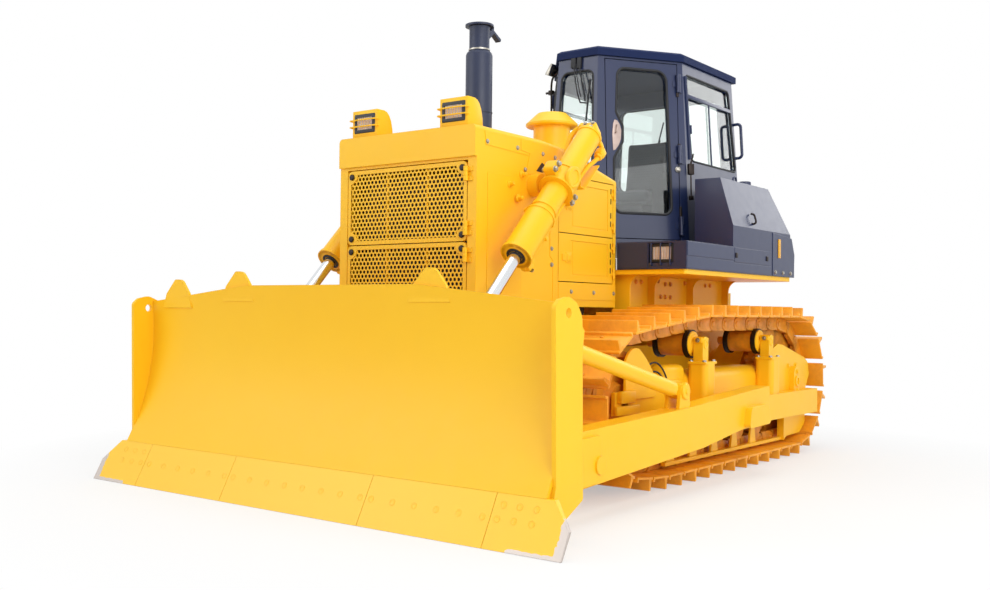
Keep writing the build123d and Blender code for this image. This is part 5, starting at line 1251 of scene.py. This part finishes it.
filler = turned((0.935, 1.480, 2.204), (0, 0, 1), [(0, 0.060), (0.012, 0.060), (0.014, 0.050), (0.040, 0.050),
                                                   (0.046, 0.044), (0.047, 0.020)], 24)
on_both_sides(merged([loop, filler]), "tank_fittings", navy_enamel, slot="cab_paint")
WALL = 0.600
wall_bolts = [stand((WALL, y, z), (1, 0, 0)) for y, z in ((0.607, 1.405), (0.725, 1.383), (0.811, 1.385),
                                                          (0.649, 1.283), (0.727, 1.282), (0.812, 1.280),
                                                         (1.065, 1.400), (1.450, 1.390), (1.540, 1.392),
                                                         (0.250, 1.390), (0.330, 1.390))]
on_both_sides(copied(hex_bolt(0.015, 0.014), wall_bolts), "platform_bolts", link_enamel, slot="worn_steel")

# %% [markdown]
# ## Track frame fittings
# The carrier rollers have dark hardened rims, and their shafts are clamped in split heads on
# bolted pedestals.  Two thin grease hoses arch from the idler's guard to the frame.

# %% Carrier rollers, pedestals, guards
rims, hubs, clamp_bolts = [], [], []
for y in CARRIER_YS:
    z = CHAIN_TOP - CARRIER_REACH - 0.0004
    rims += [ring((TRACK_X + way * 0.1175 - 0.018, y, z), (1, 0, 0), 0.1018, 0.060, 0.036) for way in (-1, 1)]
    hubs += [turned((TRACK_X + 0.130, y, z), (1, 0, 0), [(0, 0.092), (0.012, 0.090), (0.016, 0.070), (0.022, 0.066),
                                                         (0.026, 0.046), (0.034, 0.044)], 28)]
    hubs += [brick((1.166, y - 0.058, z + 0.010), (1.232, y - 0.040, z + 0.046), 0.005),
             brick((1.166, y + 0.040, z + 0.010), (1.232, y + 0.058, z + 0.046), 0.005)]
    hubs += [turned((1.234, y, z), (1, 0, 0), [(0, 0.034), (0.006, 0.033), (0.0065, 0.022), (0.003, 0.020)], 20)]
    clamp_bolts += [stand((1.199, y + way * 0.058, z + 0.028), (0, way, 0)) for way in (-1, 1)]
    clamp_bolts += [stand((x, y + dy, 0.816), (0, 0, 1)) for x in (1.160, 1.262) for dy in (-0.074, 0.074)]
on_both_sides(merged(rims), "carrier_rims", black_oxide, slot="worn_steel")
on_both_sides(merged(hubs), "carrier_hubs", yellow_enamel)
on_both_sides(copied(hex_bolt(0.013, 0.013), clamp_bolts), "pedestal_bolts", zinc_plate)
boss = [(1.242, 1.870, 0.520), (1.242, 1.870, 0.678), (1.196, 1.780, 0.730), (1.196, 1.950, 0.730)]
boss_bolts = [stand(spot, (1, 0, 0)) for spot in boss]
on_both_sides(copied(hex_bolt(0.016, 0.014), boss_bolts), "guard_bolts", yellow_enamel)
boss_ring = [ring((1.240, 1.870, 0.599), (1, 0, 0), 0.046, 0.028, 0.012)]
# recoil housing's bolted cover and the idler's sliding blocks
recoil = [brick((1.020, -0.335, 0.560), (1.158, -0.030, 0.798), 0.046, 4),
          brick((1.134, -0.300, 0.560), (1.176, -0.120, 0.700), 0.014, 3),
          brick((1.138, -1.000, 0.500), (1.166, -0.700, 0.560), 0.008),
          brick((1.138, -0.960, 0.575), (1.176, -0.770, 0.655), 0.012)]
on_both_sides(merged(boss_ring + recoil), "frame_covers", yellow_enamel)

# %% Grease hoses
HOSE, LONG_HOSE, SHORT_HOSE = 0.012, 0.317, 0.248


def hose(name, points, length):
    """A free hose: one smooth curve through open air between two fixed ends."""
    obj = curved_bar(name, points, HOSE / 2, fine=12, rounding=4)
    obj.data.materials.append(rubber)
    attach(obj, "tractor")
    print(name, length, "m long")


long_way = ((1.134, -0.545, 0.800), (1.142, -0.520, 0.822), (1.158, -0.470, 0.826), (1.166, -0.410, 0.790),
            (1.168, -0.360, 0.738), (1.164, -0.322, 0.690), (1.150, -0.305, 0.668))
short_way = ((1.134, -0.520, 0.745), (1.142, -0.500, 0.762), (1.154, -0.460, 0.764), (1.160, -0.405, 0.735),
             (1.158, -0.355, 0.690), (1.150, -0.322, 0.650))
for side, way in (("left", 1), ("right", -1)):
    for size, route, length in (("long", long_way, LONG_HOSE), ("short", short_way, SHORT_HOSE)):
        hose(f"grease_hose_{size}_{side}", [(way * x, y, z) for x, y, z in route], length)

# %% [markdown]
# ## Exhaust stack
# The silencer is a drum under a thinner tailpipe, with a rolled shoulder, a bright clamp ring and a
# band.  It is turned in one piece from its steps, and two ears at the top carry the rain cap's pin.

# %% Stack
STACK_Y, STACK_FOOT, SHOULDER, STACK_TOP = -0.945, 2.3135, 2.980, 3.150
PIPE, DRUM = 0.071, 0.094
profile = [(STACK_FOOT - 0.020, DRUM), (SHOULDER - 0.032, DRUM), (SHOULDER - 0.016, DRUM - 0.006),
           (SHOULDER - 0.006, DRUM - 0.016),
           (SHOULDER - 0.004, PIPE), (STACK_TOP - 0.020, PIPE), (STACK_TOP - 0.002, PIPE + 0.006),
           (STACK_TOP, PIPE - 0.004),
           (STACK_TOP - 0.060, PIPE - 0.006)]
stack = [turned((0, STACK_Y, profile[0][0]), (0, 0, 1), [(z - profile[0][0], radius) for z, radius in profile], 48)]
pin_y = STACK_Y + 0.112
ear_root = STACK_Y + PIPE - 0.006
ear_line = [(ear_root, 3.070), (pin_y + 0.014, 3.125), (pin_y + 0.014, 3.178), (pin_y - 0.014, 3.178),
            (pin_y - 0.014, 3.144),
            (ear_root, 3.140)]
stack += [cut_plate(ear_line, "x", x0, x0 + 0.012) for x0 in (-0.034, 0.022)]
stack.append(turned((-0.034, pin_y, 3.164), (1, 0, 0), [(0, 0.008), (0.068, 0.008)], 12))
stack = finished(merged(stack), "stack", stack_enamel, slot="cab_paint")
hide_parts("exhaust_stack")
finished(ring((0, STACK_Y, SHOULDER + 0.002), (0, 0, 1), PIPE + 0.005, PIPE - 0.002, 0.010), "stack_ring", zinc_plate,
         slot="chromed_rod")
finished(ring((0, STACK_Y, 2.540), (0, 0, 1), DRUM + 0.003, DRUM - 0.002, 0.010), "stack_band", stack_enamel,
         slot="cab_paint")

# %% Bounds of everything shown
low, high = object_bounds()
